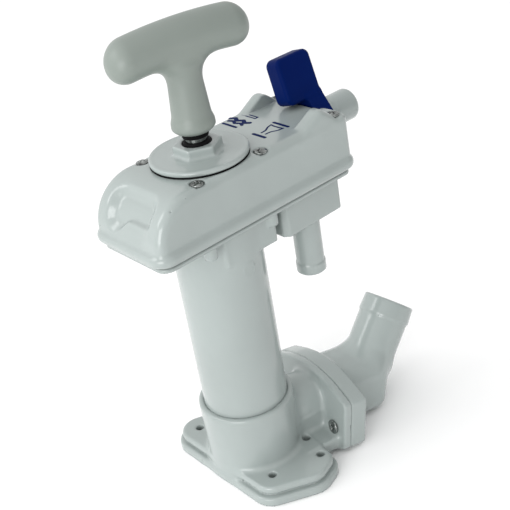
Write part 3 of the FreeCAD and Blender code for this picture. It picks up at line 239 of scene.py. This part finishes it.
def lobed(x, y, lobes):
    """2D distance to a convex outline of arcs joined by tangents; lobes are (x, y, radius), anticlockwise."""
    count = len(lobes)
    normals = []
    for i in range(count):
        (x0, y0, r0), (x1, y1, r1) = lobes[i], lobes[(i + 1) % count]
        lean = math.asin((r0 - r1) / math.hypot(x1 - x0, y1 - y0))
        angle = math.atan2(y1 - y0, x1 - x0) - math.pi / 2 + lean
        normals.append((math.cos(angle), math.sin(angle)))
    distance = np.full(np.broadcast(x, y).shape, -1e9)
    for (cx, cy, r), (nx, ny) in zip(lobes, normals):
        distance = np.maximum(distance, (x - cx) * nx + (y - cy) * ny - r)
    for i, (cx, cy, r) in enumerate(lobes):
        (ax, ay), (bx, by) = normals[i - 1], normals[i]
        dx, dy = x - cx, y - cy
        corner = (ax * dy - ay * dx >= 0) & (dx * by - dy * bx >= 0) & (dx * (ax + bx) + dy * (ay + by) > 0)
        distance = np.where(corner, np.hypot(dx, dy) - r, distance)
    return distance


def slab(p, lobes, low, high, edge=0.0):
    """Plate with a lobed outline in x and y."""
    end = np.abs(p[..., 2] - (low + high) / 2) - (high - low) / 2
    return edged(lobed(p[..., 0], p[..., 1], lobes), end, edge)


def turned(p, origin, x_way, y_way, z_way):
    """The points in a frame of their own."""
    return (p - np.array(origin, float)) @ np.array([x_way, y_way, z_way], float).T


def surface(field, low, high, step):
    """Closed quad mesh of a field's zero level, each point moved onto the level: (points, faces).

    The field is read on a coarse grid first, and on the fine grid only near the level.
    """
    coarse, margin, batch = 4, 1.6, 400000
    rounds, probe, flattest, longest_move = 3, 0.05, 0.1, 0.7
    low, high = np.array(low, float) - 2 * step, np.array(high, float) + 2 * step
    blocks = np.ceil((high - low) / (step * coarse)).astype(int)
    counts = blocks * coarse + 1
    grid = [low[i] + step * np.arange(counts[i]) for i in range(3)]
    middles = [low[i] + step * coarse * (np.arange(blocks[i]) + 0.5) for i in range(3)]
    rough = field(np.stack(np.meshgrid(*middles, indexing="ij"), -1))
    near = np.abs(rough) < step * coarse * margin
    values = np.repeat(np.repeat(np.repeat(rough, coarse, 0), coarse, 1), coarse, 2)
    values = np.pad(values, ((0, 1), (0, 1), (0, 1)), mode="edge")
    wanted = np.repeat(np.repeat(np.repeat(near, coarse, 0), coarse, 1), coarse, 2)
    wanted = np.pad(wanted, ((0, 1), (0, 1), (0, 1)), mode="edge")
    for axis in range(3):
        shifted = np.roll(wanted, 1, axis)
        index = [slice(None)] * 3
        index[axis] = 0
        shifted[tuple(index)] = False
        wanted = wanted | shifted
    i, j, k = np.nonzero(wanted)
    points = np.stack([grid[0][i], grid[1][j], grid[2][k]], -1)
    parts = np.array_split(points, len(points) // batch + 1)
    values[i, j, k] = np.concatenate([field(part) for part in parts])
    inside = values < 0
    corners = [inside[a:counts[0] - 1 + a, b:counts[1] - 1 + b, c:counts[2] - 1 + c]
               for a in (0, 1) for b in (0, 1) for c in (0, 1)]
    total = sum(corner.astype(np.int8) for corner in corners)
    active = (total > 0) & (total < 8)
    number = np.full(active.shape, -1, np.int64)
    cells = np.argwhere(active)
    number[active] = np.arange(len(cells))
    spots = low + step * (cells + 0.5)
    for _ in range(rounds):
        value = field(spots)
        slope = np.stack([(field(spots + d) - field(spots - d)) / (2 * probe) for d in np.eye(3) * probe], -1)
        move = -slope * (value / np.maximum((slope * slope).sum(-1), flattest))[:, None]
        spots = spots + np.clip(move, -step * longest_move, step * longest_move)
    faces = []
    for axis in range(3):
        u, v = (axis + 1) % 3, (axis + 2) % 3
        first = [slice(None)] * 3
        second = [slice(None)] * 3
        first[axis], second[axis] = slice(0, -1), slice(1, None)
        change = inside[tuple(first)] != inside[tuple(second)]
        for at in (u, v):
            edge = [slice(None)] * 3
            edge[at] = 0
            change[tuple(edge)] = False
            edge[at] = -1
            change[tuple(edge)] = False
        where = np.argwhere(change)
        du, dv = np.eye(3, dtype=int)[u], np.eye(3, dtype=int)[v]
        quad = [where - du - dv, where - dv, where, where - du]
        ids = np.stack([number[tuple(q.T)] for q in quad], -1)
        outward = inside[tuple(where.T)]
        faces.append(np.where(outward[:, None], ids, ids[:, ::-1]))
    return spots, np.concatenate(faces)


# ---------------------------------------------------------------- shared places, in mm

AZIMUTH, LEAN, ROLL, TURN = (math.radians(a) for a in (9, 8.4, 10, 57))  # the flange's and the elbow's turns
Y, Z = np.eye(3)[1:]
AXIS, DROP_TAIL, STEM = (0, 0), (14, 66), (5.7, 80.7)
PLATE_BOTTOM, HEAD_TOP, RIM_BOTTOM, SCREW_SEAT, COVER_TOP = 200.3, 203.3, 204.8, 242.6, 244.3
CHEST_FLOOR, OUTLET_LEVEL, LEVER_LEVEL = 178.5, 219, 235
TUBE, TUBE_BORE, HOSE, HOSE_BORE = 30, 26.5, 9.75, 7
BASE_HOLE, FLANGE_HOLE = 2.9, 2.6
OUTLET_X = -20
OUTWARD = np.array([math.sin(AZIMUTH), math.cos(AZIMUTH), 0])
SIDEWAYS = np.array([math.cos(AZIMUTH), -math.sin(AZIMUTH), 0])
NORMAL = OUTWARD * math.cos(LEAN) - Z * math.sin(LEAN)
UPWARD = OUTWARD * math.sin(LEAN) + Z * math.cos(LEAN)
FLANGE = OUTWARD * 49 + Z * 19
PORT = FLANGE + UPWARD * 8.6
FLANGE_FACE = 6
BEND_UP = UPWARD * math.cos(ROLL) - SIDEWAYS * math.sin(ROLL)
TAIL_WAY = NORMAL * math.cos(TURN) + BEND_UP * math.sin(TURN)
FLANGE_LOBES = [(42, -11.2, 4), (42, 21, 4), (0, -63.8, 98), (-42, 21, 4), (-42, -11.2, 4)]
BASE_LOBES = [(-43.9, -17, 16.5), (38, -17.3, 17), (49, 6, 18), (50, 14.5, 14.5), (29, 20, 12.5),
              (-31, 20, 13)]
BASE_HOLES = [(-43.9, -17), (38, -17), (49.1, 19.5), (-35, 19.5), (29, 25)]
ELBOW_SCREWS = [FLANGE + SIDEWAYS * side * 33.5 for side in (1, -1)]
COVER_SCREWS = [(side * 27.8, y) for y in (-25.0, 26.2, 90.5) for side in (1, -1)]


def least(*fields):
    """Union of fields without a fillet."""
    return np.minimum.reduce(fields)


def inset(lobes, amount):
    """A lobed outline drawn in by an amount."""
    return [(x, y, r - amount) for x, y, r in lobes]


def rim_lobes(gap):
    """The outline of the cover's rim, drawn in by a gap."""
    corner = 12 - gap
    xs, ys = (-37.8 + gap + corner, 37.8 - gap - corner), (-68 + gap + corner, 102 - gap - corner)
    return [(xs[0], ys[0], corner), (xs[1], ys[0], corner), (xs[1], ys[1], corner), (xs[0], ys[1], corner)]


def step(value, width):
    """Smooth step from 0 to 1 as a value goes from 0 to a width."""
    t = np.clip(value / width, 0, 1)
    return t * t * (3 - 2 * t)


# ---------------------------------------------------------------- base casting

def flange_space(p):
    """The points in the flange's own frame: across it, up it and out of its face."""
    return turned(p, FLANGE, -SIDEWAYS, UPWARD, NORMAL)


def base_field(p):
    """Stepped plinth, collar round the tube, and the neck with its half of the flange."""
    z = p[..., 2]
    plinth = slab(p, BASE_LOBES, -4, 6.5, 1.9)
    groove = slab(p, inset(BASE_LOBES, 5), 3, 11)
    upper = slab(p, inset(BASE_LOBES, 3), 8, 14, 2.0)
    collar = post(p, AXIS, 1, 59, 33.9, 1.9)
    neck = rod(p, PORT - NORMAL * 29, PORT + NORMAL * 3, 20.5)
    local = turned(p, OUTWARD * 20 + Z * 9, SIDEWAYS, OUTWARD, Z)
    rib = brick(local, (-20.5, 0, 0), (20.5, 31, 19), 1.0)
    foot = brick(local, (-40, 0, -5), (40, 31, 4.8), 1.5)
    q = flange_space(p)
    plate = edged(lobed(q[..., 0], q[..., 1], FLANGE_LOBES), np.abs(q[..., 2] - 3.5) - 3.5, 1.4)
    plate = np.maximum(plate, q[..., 2] - FLANGE_FACE)
    barrel = meet(neck, rib, 2)
    upright = meet(collar, barrel, 5)
    plates = meet(least(plinth, groove, upper), np.maximum(foot, z - 13.9), 1.5)
    body = meet(meet(upright, plates, 4.2), plate, 4.5)
    body = np.maximum(body, -z)
    body = np.maximum(body, q[..., 2] - FLANGE_FACE)
    tools = [post(p, AXIS, 46, 76, 30), post(p, AXIS, 6, 47, 25.5),
             post(p, AXIS, -5, 25, 15), post(p, AXIS, 51.3, 53.7, 32.1),
             rod(p, PORT - NORMAL * 40, PORT + NORMAL * 20, 14)]
    body = np.maximum(body, -least(*tools))
    holes = [post(p, (hx, hy), -5, 25, BASE_HOLE) for hx, hy in BASE_HOLES]
    holes += [rod(p, spot - NORMAL * 5, spot + NORMAL * 15, FLANGE_HOLE) for spot in ELBOW_SCREWS]
    return carve(body, least(*holes), 0.9)


# ---------------------------------------------------------------- cylinder with its head

CHEST_LOBES = [(26.5, 87.3, 1.2), (-26.5, 87.3, 1.2), (-27.3, 40.5, 1.2), (-24.1, 37.5, 1),
               (24.1, 37.5, 1), (27.3, 40.5, 1.2)]
MARK_WAY = np.array([math.cos(math.radians(2)), math.sin(math.radians(2)), 0])


def mould_mark(p):
    """1 on the low ring that the mould leaves on the tube, and 0 elsewhere."""
    radius, width, level = 4.6, 0.9, 171.2
    local = p - (Z * level + MARK_WAY * TUBE)
    ring = np.hypot(local @ np.cross(Z, MARK_WAY), local[..., 2])
    return (1 - step(np.abs(ring - radius), width)) * (local @ MARK_WAY > -6)


def cylinder_field(p):
    """Tube with the side chest, the rear chest, the head plate and the down tail in one moulding."""
    z = p[..., 2]
    tube = post(p, AXIS, 46, HEAD_TOP, TUBE, 0.6)
    head = slab(p, rim_lobes(4.2), PLATE_BOTTOM, HEAD_TOP, 0.4)
    side = slab(p, [(-27, -12.5, 1.5), (27, -12.5, 1.5), (27, 27.5, 1.5), (-27, 27.5, 1.5)],
                CHEST_FLOOR, 201.3, 1.2)
    side = np.maximum(side, CHEST_FLOOR - z)
    chest = slab(p, CHEST_LOBES, 175.5, 201.3, 1.0)
    bridge = brick(p, (-20, 24, 181.5), (4, 39.5, PLATE_BOTTOM), 1)
    tail = least(post(p, DROP_TAIL, 133, 178, 9.9, 0.8),
                 post(p, DROP_TAIL, 133.5, 141, 10.5, 0.7))
    guide = post(p, STEM, 202, 211.8, 5.5, 0.5)
    bosses = [post(p, (sx, sy), 191.8, 201, 4.4, 0.5) for sx, sy in COVER_SCREWS[:4]]
    body = meet(meet(tube, side, 2.2), least(head, chest, bridge, guide, *bosses), 1.6)
    body = np.minimum(body, meet(tail, chest, 2.2))
    mark_height = 0.35
    body = body - mark_height * mould_mark(p)
    chests = [brick(p, (-25.5, 39.5, CHEST_FLOOR), (-1.5, 85.5, PLATE_BOTTOM)),
              brick(p, (1.5, 39.5, CHEST_FLOOR), (25.5, 74, PLATE_BOTTOM)),
              brick(p, (1.5, 73, 192.5), (25.5, 85.5, PLATE_BOTTOM)),
              brick(p, (1.5, 76, CHEST_FLOOR), (25.5, 85.5, 190))]
    passages = [brick(p, (-17, 20, 184.5), (-3, 40.5, 197.3)),
                brick(p, (-3, 78, CHEST_FLOOR), (3, 83.5, 186.5)),
                np.maximum(post(p, DROP_TAIL, 113, 203, HOSE_BORE), z - 180)]
    passages += [post(p, (sign * 16, 53), 196, 208, 6.5) for sign in (1, -1)]
    bores = [post(p, AXIS, 0, 300, TUBE_BORE), post(p, STEM, 187.5, 195.5, 3.4),
             post(p, STEM, 195, 225, 2.46), post(p, STEM, 207.3, 209.5, 4)]
    bores += [post(p, (sx, sy), 194, 224, 2.1) for sx, sy in COVER_SCREWS]
    return np.maximum(body, -least(*chests, *passages, *bores))


# ---------------------------------------------------------------- cover

NOSE, NOSE_CENTRE = 31, (-33.8, 213.3)


def cover_side(p, gap, low):
    """The cover's outline seen from the side, drawn in by a gap, with its rounded nose."""
    nose, edge = NOSE - gap, 6.5 - gap * 0.9
    front, rear, top = -64.8 + gap, 99 - gap, COVER_TOP - gap
    return lobed(p[..., 1], p[..., 2], [(front + edge, low + edge, edge), (rear - edge, low + edge, edge),
                                        (rear - edge, top - edge, edge), (front + nose, top - nose, nose)])


def horns(p):
    """The two shoulders beside the lever: a soft outer edge and a crisper inner one."""
    side = lobed(p[..., 1], p[..., 2], [(56, 236, 5.5), (91, 235.4, 5.5), (76, 246, 6.5)])
    apart = np.abs(p[..., 0])
    return carve(edged(side, apart - 33.9, 5.2), apart - 22.7, 1.6)


def nose_hollow(p):
    """How deep the hollow in the nose is: a wide dish with a ledge that stands higher."""
    x, y, z = p[..., 0], p[..., 1], p[..., 2]
    arc = NOSE * np.arctan2(z - NOSE_CENTRE[1], -(y - NOSE_CENTRE[0]))
    middle, half = NOSE * math.radians(35), NOSE * math.radians(34)
    width, corner, depth, ledge_height = 24, 13, 4.6, 2.8
    q = np.stack([np.abs(x) - width + corner, np.abs(arc - middle) - half + corner], -1)
    dish = length(np.maximum(q, 0)) + np.minimum(q.max(-1), 0) - corner
    dish = np.where(y < -34, dish, 9)
    ledge = -meet(16.5 - arc, 0.7 * (x + 18 - arc), 3)
    return (depth - ledge_height * step(-ledge, 3.5)) * step(-dish, 9)


def cover_field(p):
    """Long hollow cover with its rim, shoulders, inner walls, screw pillars and outlet tail."""
    z = p[..., 2]
    apart = np.abs(p[..., 0])
    body = edged(cover_side(p, 0, 208), apart - (34.9 - 0.02 * (z - 205)), 6)
    seat = post(p, AXIS, 220, COVER_TOP, 32.9, 1.2)
    outside = np.maximum(meet(body, seat, 4), z - COVER_TOP)
    sunk = nose_hollow(p)
    outside = outside + sunk
    rim = slab(p, rim_lobes(0), RIM_BOTTOM, 213, 3.8)
    outside = meet(meet(outside, rim, 1.8), horns(p), 1.4)
    room = np.maximum(cover_side(p, 3.2, 199.8), apart - 31.4) + np.maximum(sunk, 0)
    walls = [post(p, AXIS, RIM_BOTTOM, COVER_TOP, 31.7),
             brick(p, (-1.25, 30, RIM_BOTTOM), (1.25, 68, COVER_TOP)),
             brick(p, (-40, 66, RIM_BOTTOM), (40, 69, COVER_TOP)),
             pipe(p, OUTLET_X, OUTLET_LEVEL, 67, 99, HOSE),
             pipe(p, 0, LEVER_LEVEL, 88, 99, 16.6),
             brick(p, (-16.6, 88, LEVER_LEVEL), (16.6, 99, COVER_TOP))]
    walls += [post(p, (sx, sy), RIM_BOTTOM, COVER_TOP, 5.2) for sx, sy in COVER_SCREWS]
    whole = np.minimum(np.maximum(outside, -room), np.maximum(least(*walls), outside))
    tail = meet(pipe(p, OUTLET_X, OUTLET_LEVEL, 94, 150, HOSE),
                pipe(p, OUTLET_X, OUTLET_LEVEL, 130, 151.5, 11.7, 2.6), 1.5)
    whole = meet(whole, tail, 2)
    tools = [post(p, AXIS, 199.8, 259.8, 28.2), brick(p, (5, 16, 210.8), (20, 34, 234.3)),
             pipe(p, OUTLET_X, OUTLET_LEVEL, 60, 192, HOSE_BORE), pipe(p, 0, LEVER_LEVEL, 64, 93, 2.56)]
    tools += [post(p, (sx, sy), 194.8, 274.8, 2.25) for sx, sy in COVER_SCREWS]
    whole = np.maximum(whole, -least(*tools))
    notch = least(pipe(p, 0, LEVER_LEVEL, 91, 131, 13.6),
                  brick(p, (-13.6, 91, LEVER_LEVEL), (13.6, 131, 264)))
    seats = least(*[post(p, (sx, sy), SCREW_SEAT, SCREW_SEAT + 20, 4.7) for sx, sy in COVER_SCREWS])
    return carve(carve(whole, notch, 1.6), seats, 0.8)


# ---------------------------------------------------------------- seal housing

def hexagon(p, flats, low, high, edge):
    """Six-sided prism about the pump's axis, between two levels."""
    x, y = p[..., 0], p[..., 1]
    sides = np.maximum.reduce([np.abs(x * math.cos(a) + y * math.sin(a)) for a in np.radians([30, 90, 150])])
    return edged(sides - flats / 2, np.abs(p[..., 2] - (low + high) / 2) - (high - low) / 2, edge)


def housing_field(p):
    """Disc with the hexagon on it, the plug below it, and the bore for the rod and its seals."""
    disc = post(p, AXIS, 245.1, 248.6, 32.1, 1.3)
    body = meet(disc, hexagon(p, 27.4, 240, 255, 1.0), 2.4)
    radial = np.hypot(p[..., 0], p[..., 1])
    dip = 0.15 * step(30 - radial, 1.5) * step(radial - 17.5, 2.5)
    body = body + dip * (p[..., 2] > 246.5)
    body = np.minimum(body, post(p, AXIS, 229, 246, 28, 0.5))
    hollow = np.maximum(post(p, AXIS, 228, 243.1, 24.5), -post(p, AXIS, 224, 264, 13.5))
    body = np.maximum(body, -least(hollow, post(p, AXIS, 224, 241, 10.5)))
    body = np.maximum(body, -post(p, AXIS, 224, 284, 7.06))
    return carve(body, post(p, AXIS, 251, 262, 9.5), 0.8)


# ---------------------------------------------------------------- handle and lever

GRIP_WAY = np.array([math.cos(math.radians(79)), math.sin(math.radians(79)), 0])


def handle_field(p):
    """Tee handle: a slightly arched grip on a tapered neck with a rounded foot."""
    arch, tilt, half, level = 0.0016, 0.025, 47, 321
    along = p @ GRIP_WAY
    bent = p + Z * (arch * along * along - tilt * along)[..., None]
    grip = rod(bent, Z * level - GRIP_WAY * half, Z * level + GRIP_WAY * half, 13.6, 12.8)
    foot = post(p, AXIS, 262.5, 272, 13.4, 4.2)
    neck = post(p, AXIS, 266, 305, 13.0, 0, 10.3)
    body = meet(meet(foot, neck, 3), grip, 15)
    return np.maximum(body, -post(p, AXIS, 255, 293.5, 5))


LEVER_LEAN = math.radians(15)


def lever_field(p):
    """Leaning paddle on a drum round the lever's pin."""
    local = turned(p, Z * LEVER_LEVEL, (math.cos(LEVER_LEAN), 0, math.sin(LEVER_LEAN)), Y,
                   (-math.sin(LEVER_LEAN), 0, math.cos(LEVER_LEAN)))
    x, y, z = local[..., 0], local[..., 1], local[..., 2]
    outline = lobed(y, z, [(81.5, 17.2, 5), (101, 17.2, 5), (101, 39.5, 5), (81.5, 39.5, 5)])
    paddle = edged(outline, np.abs(x) - (7.25 - 0.02 * (z - 14)), 2.4)
    drum = edged(lobed(x, z, [(0, 0, 12), (6.2, 14, 1), (-6.2, 14, 1)]), np.abs(y - 99) - 7, 0.8)
    body = meet(paddle, drum, 3)
    return np.maximum(body, -rod(local, (0, 72, 0), (0, 104.8, 0), 2.5))


# ---------------------------------------------------------------- elbow

BEND = 24
BEND_START = PORT + NORMAL * 36.4
BEND_CENTRE = BEND_START + BEND_UP * BEND
TAIL_START = BEND_CENTRE + (NORMAL * math.sin(TURN) - BEND_UP * math.cos(TURN)) * BEND
CHAMBER_LOBES = [(12, 0.1, 13), (12, 17.1, 13), (-12, 17.1, 13), (-12, 0.1, 13)]


def bent_tube(p, radius, before):
    """The elbow's straight run, from a distance before its face, and its bend."""
    q = turned(p, BEND_CENTRE, NORMAL, BEND_UP, np.cross(NORMAL, BEND_UP))
    angle = np.clip(np.arctan2(q[..., 0], -q[..., 1]), 0, TURN)
    middle = np.stack([BEND * np.sin(angle), -BEND * np.cos(angle), np.zeros_like(angle)], -1)
    run = rod(p, PORT + NORMAL * (FLANGE_FACE - before), BEND_START, radius)
    return least(length(q - middle) - radius, run)


def elbow_tail(p, start, stop, radius, edge=0.0, end_radius=None):
    """Bar along the elbow's tail, between two distances from the end of the bend."""
    return rod(p, TAIL_START + TAIL_WAY * start, TAIL_START + TAIL_WAY * stop, radius, edge, end_radius)


def elbow_field(p):
    """Half flange, flat-bottomed chamber, bend and barbed tail, hollow from the joint to the mouth."""
    q = flange_space(p)
    plate = edged(lobed(q[..., 0], q[..., 1], FLANGE_LOBES), np.abs(q[..., 2] - 12.7) - 6.7, 1.2)
    chamber = edged(lobed(q[..., 0], q[..., 1], CHAMBER_LOBES), np.abs(q[..., 2] - 33) - 27, 11)
    tube = meet(bent_tube(p, 20, 0), elbow_tail(p, -4, 48, 19, 1.5), 3)
    whole = meet(meet(tube, chamber, 7), plate, 5)
    whole = np.maximum(whole, 0.6 - p[..., 2])
    whole = np.minimum(whole, elbow_tail(p, 35, 49, 19.9, 1.6, 19.2))
    whole = np.maximum(whole, FLANGE_FACE - q[..., 2])
    room = edged(lobed(q[..., 0], q[..., 1], inset(CHAMBER_LOBES, 3.6)), np.abs(q[..., 2] - 36.2) - 16.8, 1)
    whole = np.maximum(whole, -room)
    whole = carve(whole, least(bent_tube(p, 16, 3), elbow_tail(p, 0, 54, 16)), 1.2)
    recess = rod(p, PORT + NORMAL * 5.7, PORT + NORMAL * 8.5, 18.5)
    holes = [rod(p, spot - NORMAL * 5, spot + NORMAL * 35, FLANGE_HOLE) for spot in ELBOW_SCREWS]
    return np.maximum(whole, -least(recess, *holes))


# ---------------------------------------------------------------- screws

def head_field(p, radius, height):
    """Pan head with a cross recess, standing on z = 0."""
    x, y, z = p[..., 0], p[..., 1], p[..., 2]
    dome = ball(p, (0, 0, height - radius * 1.5), (radius * 1.75, radius * 1.75, radius * 1.5))
    head = np.maximum(edged(np.hypot(x, y) - radius, np.abs(z - height / 2) - height / 2, 0.7), dome)
    recess, cone, narrowing = 1.5, 0.35, 0.06
    depth = z - height + recess - cone * np.hypot(x, y)
    wide = 0.42 + narrowing * (z - height)
    cross = np.minimum(np.maximum(np.abs(x) - wide * 1.5, np.abs(y) - radius * 0.58),
                       np.maximum(np.abs(y) - wide * 1.5, np.abs(x) - radius * 0.58))
    return carve(head, np.maximum(cross, -depth), 0.25)


# ---------------------------------------------------------------- pieces

METRES = 0.001  # in a millimetre


def add_piece(name, points, faces, material, body, nodes=()):
    """A mesh object from points in mm and quads, which rides on a body and stands for CAD nodes."""
    mesh = bpy.data.meshes.new(name)
    mesh.vertices.add(len(points))
    mesh.vertices.foreach_set("co", (points * METRES).astype(np.float32).ravel())
    mesh.loops.add(faces.size)
    mesh.loops.foreach_set("vertex_index", faces.astype(np.int32).ravel())
    mesh.polygons.add(len(faces))
    mesh.polygons.foreach_set("loop_start", np.arange(0, faces.size, 4, dtype=np.int32))
    mesh.update(calc_edges=True)
    mesh.validate()
    mesh.shade_smooth()
    mesh.materials.append(material)
    piece = bpy.data.objects.new(name, mesh)
    bpy.context.scene.collection.objects.link(piece)
    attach(piece, body)
    if nodes:
        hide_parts(*nodes)


def moulded(name, field, low, high, size, material, slot, body, *nodes):
    """A piece meshed from its field, in a box given in mm, with cells of a size in mm."""
    points, faces = surface(field, low, high, size)
    add_piece(name, points, faces, material, body, nodes)


def shank(radius, reach, count=16):
    """Closed round bar from just above z = 0 down to -reach, as quads."""
    sunk = 0.4
    turn = 2 * math.pi * np.arange(count) / count
    circle = np.stack([radius * np.cos(turn), radius * np.sin(turn)], -1)
    points = np.concatenate([np.column_stack([circle, np.full(count, level)]) for level in (sunk, -reach)])
    i = np.arange(count)
    j = (i + 1) % count
    sides = np.stack([j, i, i + count, j + count], -1)
    half = np.arange(count // 2 - 1)
    top = np.stack([half, half + 1, count - 2 - half, count - 1 - half], -1)
    return points, np.concatenate([sides, top, top[:, ::-1] + count])


def screws(name, radius, height, shank_radius, reach, places, body, node):
    """Identical cross-recessed screws: each place is its seat, its head's direction and its turn."""
    cell, askew = 0.3, (0.3, 0.9, 0.2)
    head, head_faces = surface(lambda p: head_field(p, radius, height), (-radius, -radius, 0),
                               (radius, radius, height), cell)
    bar, bar_faces = shank(shank_radius, reach)
    one = np.concatenate([head, bar])
    one_faces = np.concatenate([head_faces, bar_faces + len(head)])
    points, faces = [], []
    for count, (seat, way, turn) in enumerate(places):
        side = unit(np.cross(way, askew))
        other = np.cross(way, side)
        x_way = side * math.cos(turn) + other * math.sin(turn)
        axes = np.array([x_way, np.cross(way, x_way), way])
        points.append(one @ axes + np.array(seat, float))
        faces.append(one_faces + count * len(one))
    add_piece(name, np.concatenate(points), np.concatenate(faces), STEEL, body, [node])


def strokes(paths):
    """Flat marks on the cover's top: each path is its half width and its points."""
    thickness, edge = 0.24, 0.05

    def field(p):
        nearest = np.full(p.shape[:-1], np.inf)
        for half, points in paths:
            for (ax, ay), (bx, by) in zip(points, points[1:]):
                span = np.array([bx - ax, by - ay], float)
                q = p[..., :2] - (ax, ay)
                t = np.clip((q @ span) / (span @ span), 0, 1)
                nearest = np.minimum(nearest, length(q - t[..., None] * span) - half)
        return edged(nearest, np.abs(p[..., 2] - COVER_TOP) - thickness / 2, edge)
    return field


BOWL_MARK = [(1.2, [(3.5, 60.5), (17, 60.5)]),
             (0.65, [(4.5, 57), (5.5, 53), (8, 49), (8.4, 45)]),
             (0.65, [(16.2, 57), (15.2, 53), (12.8, 49), (12.4, 45)]),
             (0.65, [(4.5, 57), (8, 56.4), (12.5, 56.4), (16.2, 57)]),
             (1.2, [(5, 41), (16, 41)])]
WATER_MARK = [(0.6, [(-26, 58.5), (-13, 58.5), (-13, 61), (-26, 61), (-26, 58.5)]),
              (1.5, [(-29, 50.5), (-26, 52.5), (-22, 50), (-18, 52.5), (-14, 50), (-11, 52)]),
              (1.2, [(-27, 47), (-23.5, 48.4), (-20, 46.4), (-16, 48.4), (-13, 46.8)]),
              (1.1, [(-27, 42.4), (-14, 42.4)])]

moulded("base_with_collar", base_field, (-61, -36, 0), (68, 65, 60), 1.15,
        WHITE, "white_plastic", "pump", "base_casting")
moulded("cylinder_and_chests", cylinder_field, (-37, -67, 46), (37, 101, 212), 1.15,
        WHITE, "white_plastic", "pump", "pump_cylinder")
moulded("cover_shell", cover_field, (-39, -69, 204.6), (39, 153, 254), 1.1,
        WHITE, "white_plastic", "pump", "valve_cover")
moulded("gland_nut", housing_field, (-33, -33, 229), (33, 33, 256), 0.8,
        WHITE, "white_plastic", "pump", "seal_housing")
moulded("discharge_bend", elbow_field, (-40, 44, -2), (60, 150, 86), 1.1,
        WHITE, "white_plastic", "pump", "discharge_elbow")
moulded("tee_grip", handle_field, (-24, -47, 262), (24, 47, 336), 1.0,
        HANDLE, "handle_plastic", "rod", "handle")
moulded("blue_lever", lever_field, (-24, 75, 221), (15, 108, 282), 0.7,
        BLUE, "blue_plastic", "lever", "flush_lever")
screws("cover_screw_set", 4.3, 2.6, 2.1, 41.9,
       [((x, y, SCREW_SEAT), Z, turn) for (x, y), turn in zip(COVER_SCREWS, (0.4, 1.2, 0.9, 0.1, 1.4, 0.6))],
       "pump", "cover_screws")
screws("elbow_screw_set", 5.2, 3.1, 2.5, 26.4,
       [(spot, -NORMAL, turn) for spot, turn in zip(ELBOW_SCREWS, (0.5, 1.1))],
       "pump", "elbow_screws")
moulded("bowl_mark", strokes(BOWL_MARK), (1, 38, 244), (19, 63, 244.6), 0.3,
        MARKING, "blue_plastic", "pump")
moulded("water_mark", strokes(WATER_MARK), (-33, 39, 244), (-8, 63, 244.6), 0.3,
        MARKING, "blue_plastic", "pump")

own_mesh(frame["nodes"]["valve_spring"])


# ---------------------------------------------------------------- floor, light and camera

def stage_floor():
    """A pale floor, wider than any view."""
    half = 6
    mesh = bpy.data.meshes.new("floor")
    corners = [(-half, -half, 0), (half, -half, 0), (half, half, 0), (-half, half, 0)]
    mesh.from_pydata(corners, [], [(0, 1, 2, 3)])
    floor = bpy.data.objects.new("floor", mesh)
    bpy.context.scene.collection.objects.link(floor)
    mesh.materials.append(new_material("pale_floor", (0.97, 0.97, 0.97), 0.8, specular=0.1)[0])


def area_light(name, place, target, size, watts):
    """A rectangular soft box that faces a target."""
    data = bpy.data.lights.new(name, "AREA")
    data.shape = "RECTANGLE"
    data.size, data.size_y = size
    data.energy = watts
    light = bpy.data.objects.new(name, data)
    light.location = place
    light.rotation_euler = (Vector(target) - Vector(place)).to_track_quat("-Z", "Y").to_euler()
    bpy.context.scene.collection.objects.link(light)


def make_camera():
    """The scene's camera, turned by an azimuth, an elevation and a roll in degrees."""
    azimuth, elevation, roll = (math.radians(a) for a in (53.20, 29.62, -9.89))
    back = Vector((math.sin(azimuth) * math.cos(elevation), -math.cos(azimuth) * math.cos(elevation),
                   math.sin(elevation)))
    right = Vector((math.cos(azimuth), math.sin(azimuth), 0))
    up = back.cross(right)
    right, up = (right * math.cos(roll) + up * math.sin(roll), up * math.cos(roll) - right * math.sin(roll))
    data = bpy.data.cameras.new("camera")
    data.sensor_width = 36
    data.lens = 72.83
    data.clip_start = 0.01
    camera = bpy.data.objects.new("camera", data)
    place = Vector((0.4894, -0.3368, 0.5052))
    rotation = Matrix((right, up, back)).transposed().to_4x4()
    camera.matrix_world = Matrix.Translation(place) @ rotation
    bpy.context.scene.collection.objects.link(camera)
    bpy.context.scene.camera = camera


def light_scene():
    """A soft white room, brighter towards the front left, with two soft boxes."""
    world = bpy.data.worlds.new("studio")
    world.use_nodes = True
    nodes, links = world.node_tree.nodes, world.node_tree.links
    place = nodes.new("ShaderNodeTexCoord")
    toward = nodes.new("ShaderNodeVectorMath")
    toward.operation = "DOT_PRODUCT"
    toward.inputs[1].default_value = (-0.50, -0.62, 0.60)
    strength = nodes.new("ShaderNodeMapRange")
    strength.inputs["From Min"].default_value = -1
    strength.inputs["To Min"].default_value = 0.38
    strength.inputs["To Max"].default_value = 1.32
    links.new(place.outputs["Generated"], toward.inputs[0])
    links.new(toward.outputs["Value"], strength.inputs["Value"])
    background = nodes["Background"]
    background.inputs["Color"].default_value = (1, 1, 1, 1)
    links.new(strength.outputs["Result"], background.inputs["Strength"])
    bpy.context.scene.world = world
    middle = (0, 0.02, 0.18)
    area_light("key", (-0.50, -0.95, 1.05), middle, (0.6, 0.6), 3.5)
    area_light("front", (0.55, -1.2, 0.45), middle, (0.7, 0.7), 7)
    bpy.context.scene.view_settings.view_transform = "Standard"


stage_floor()
make_camera()
light_scene()
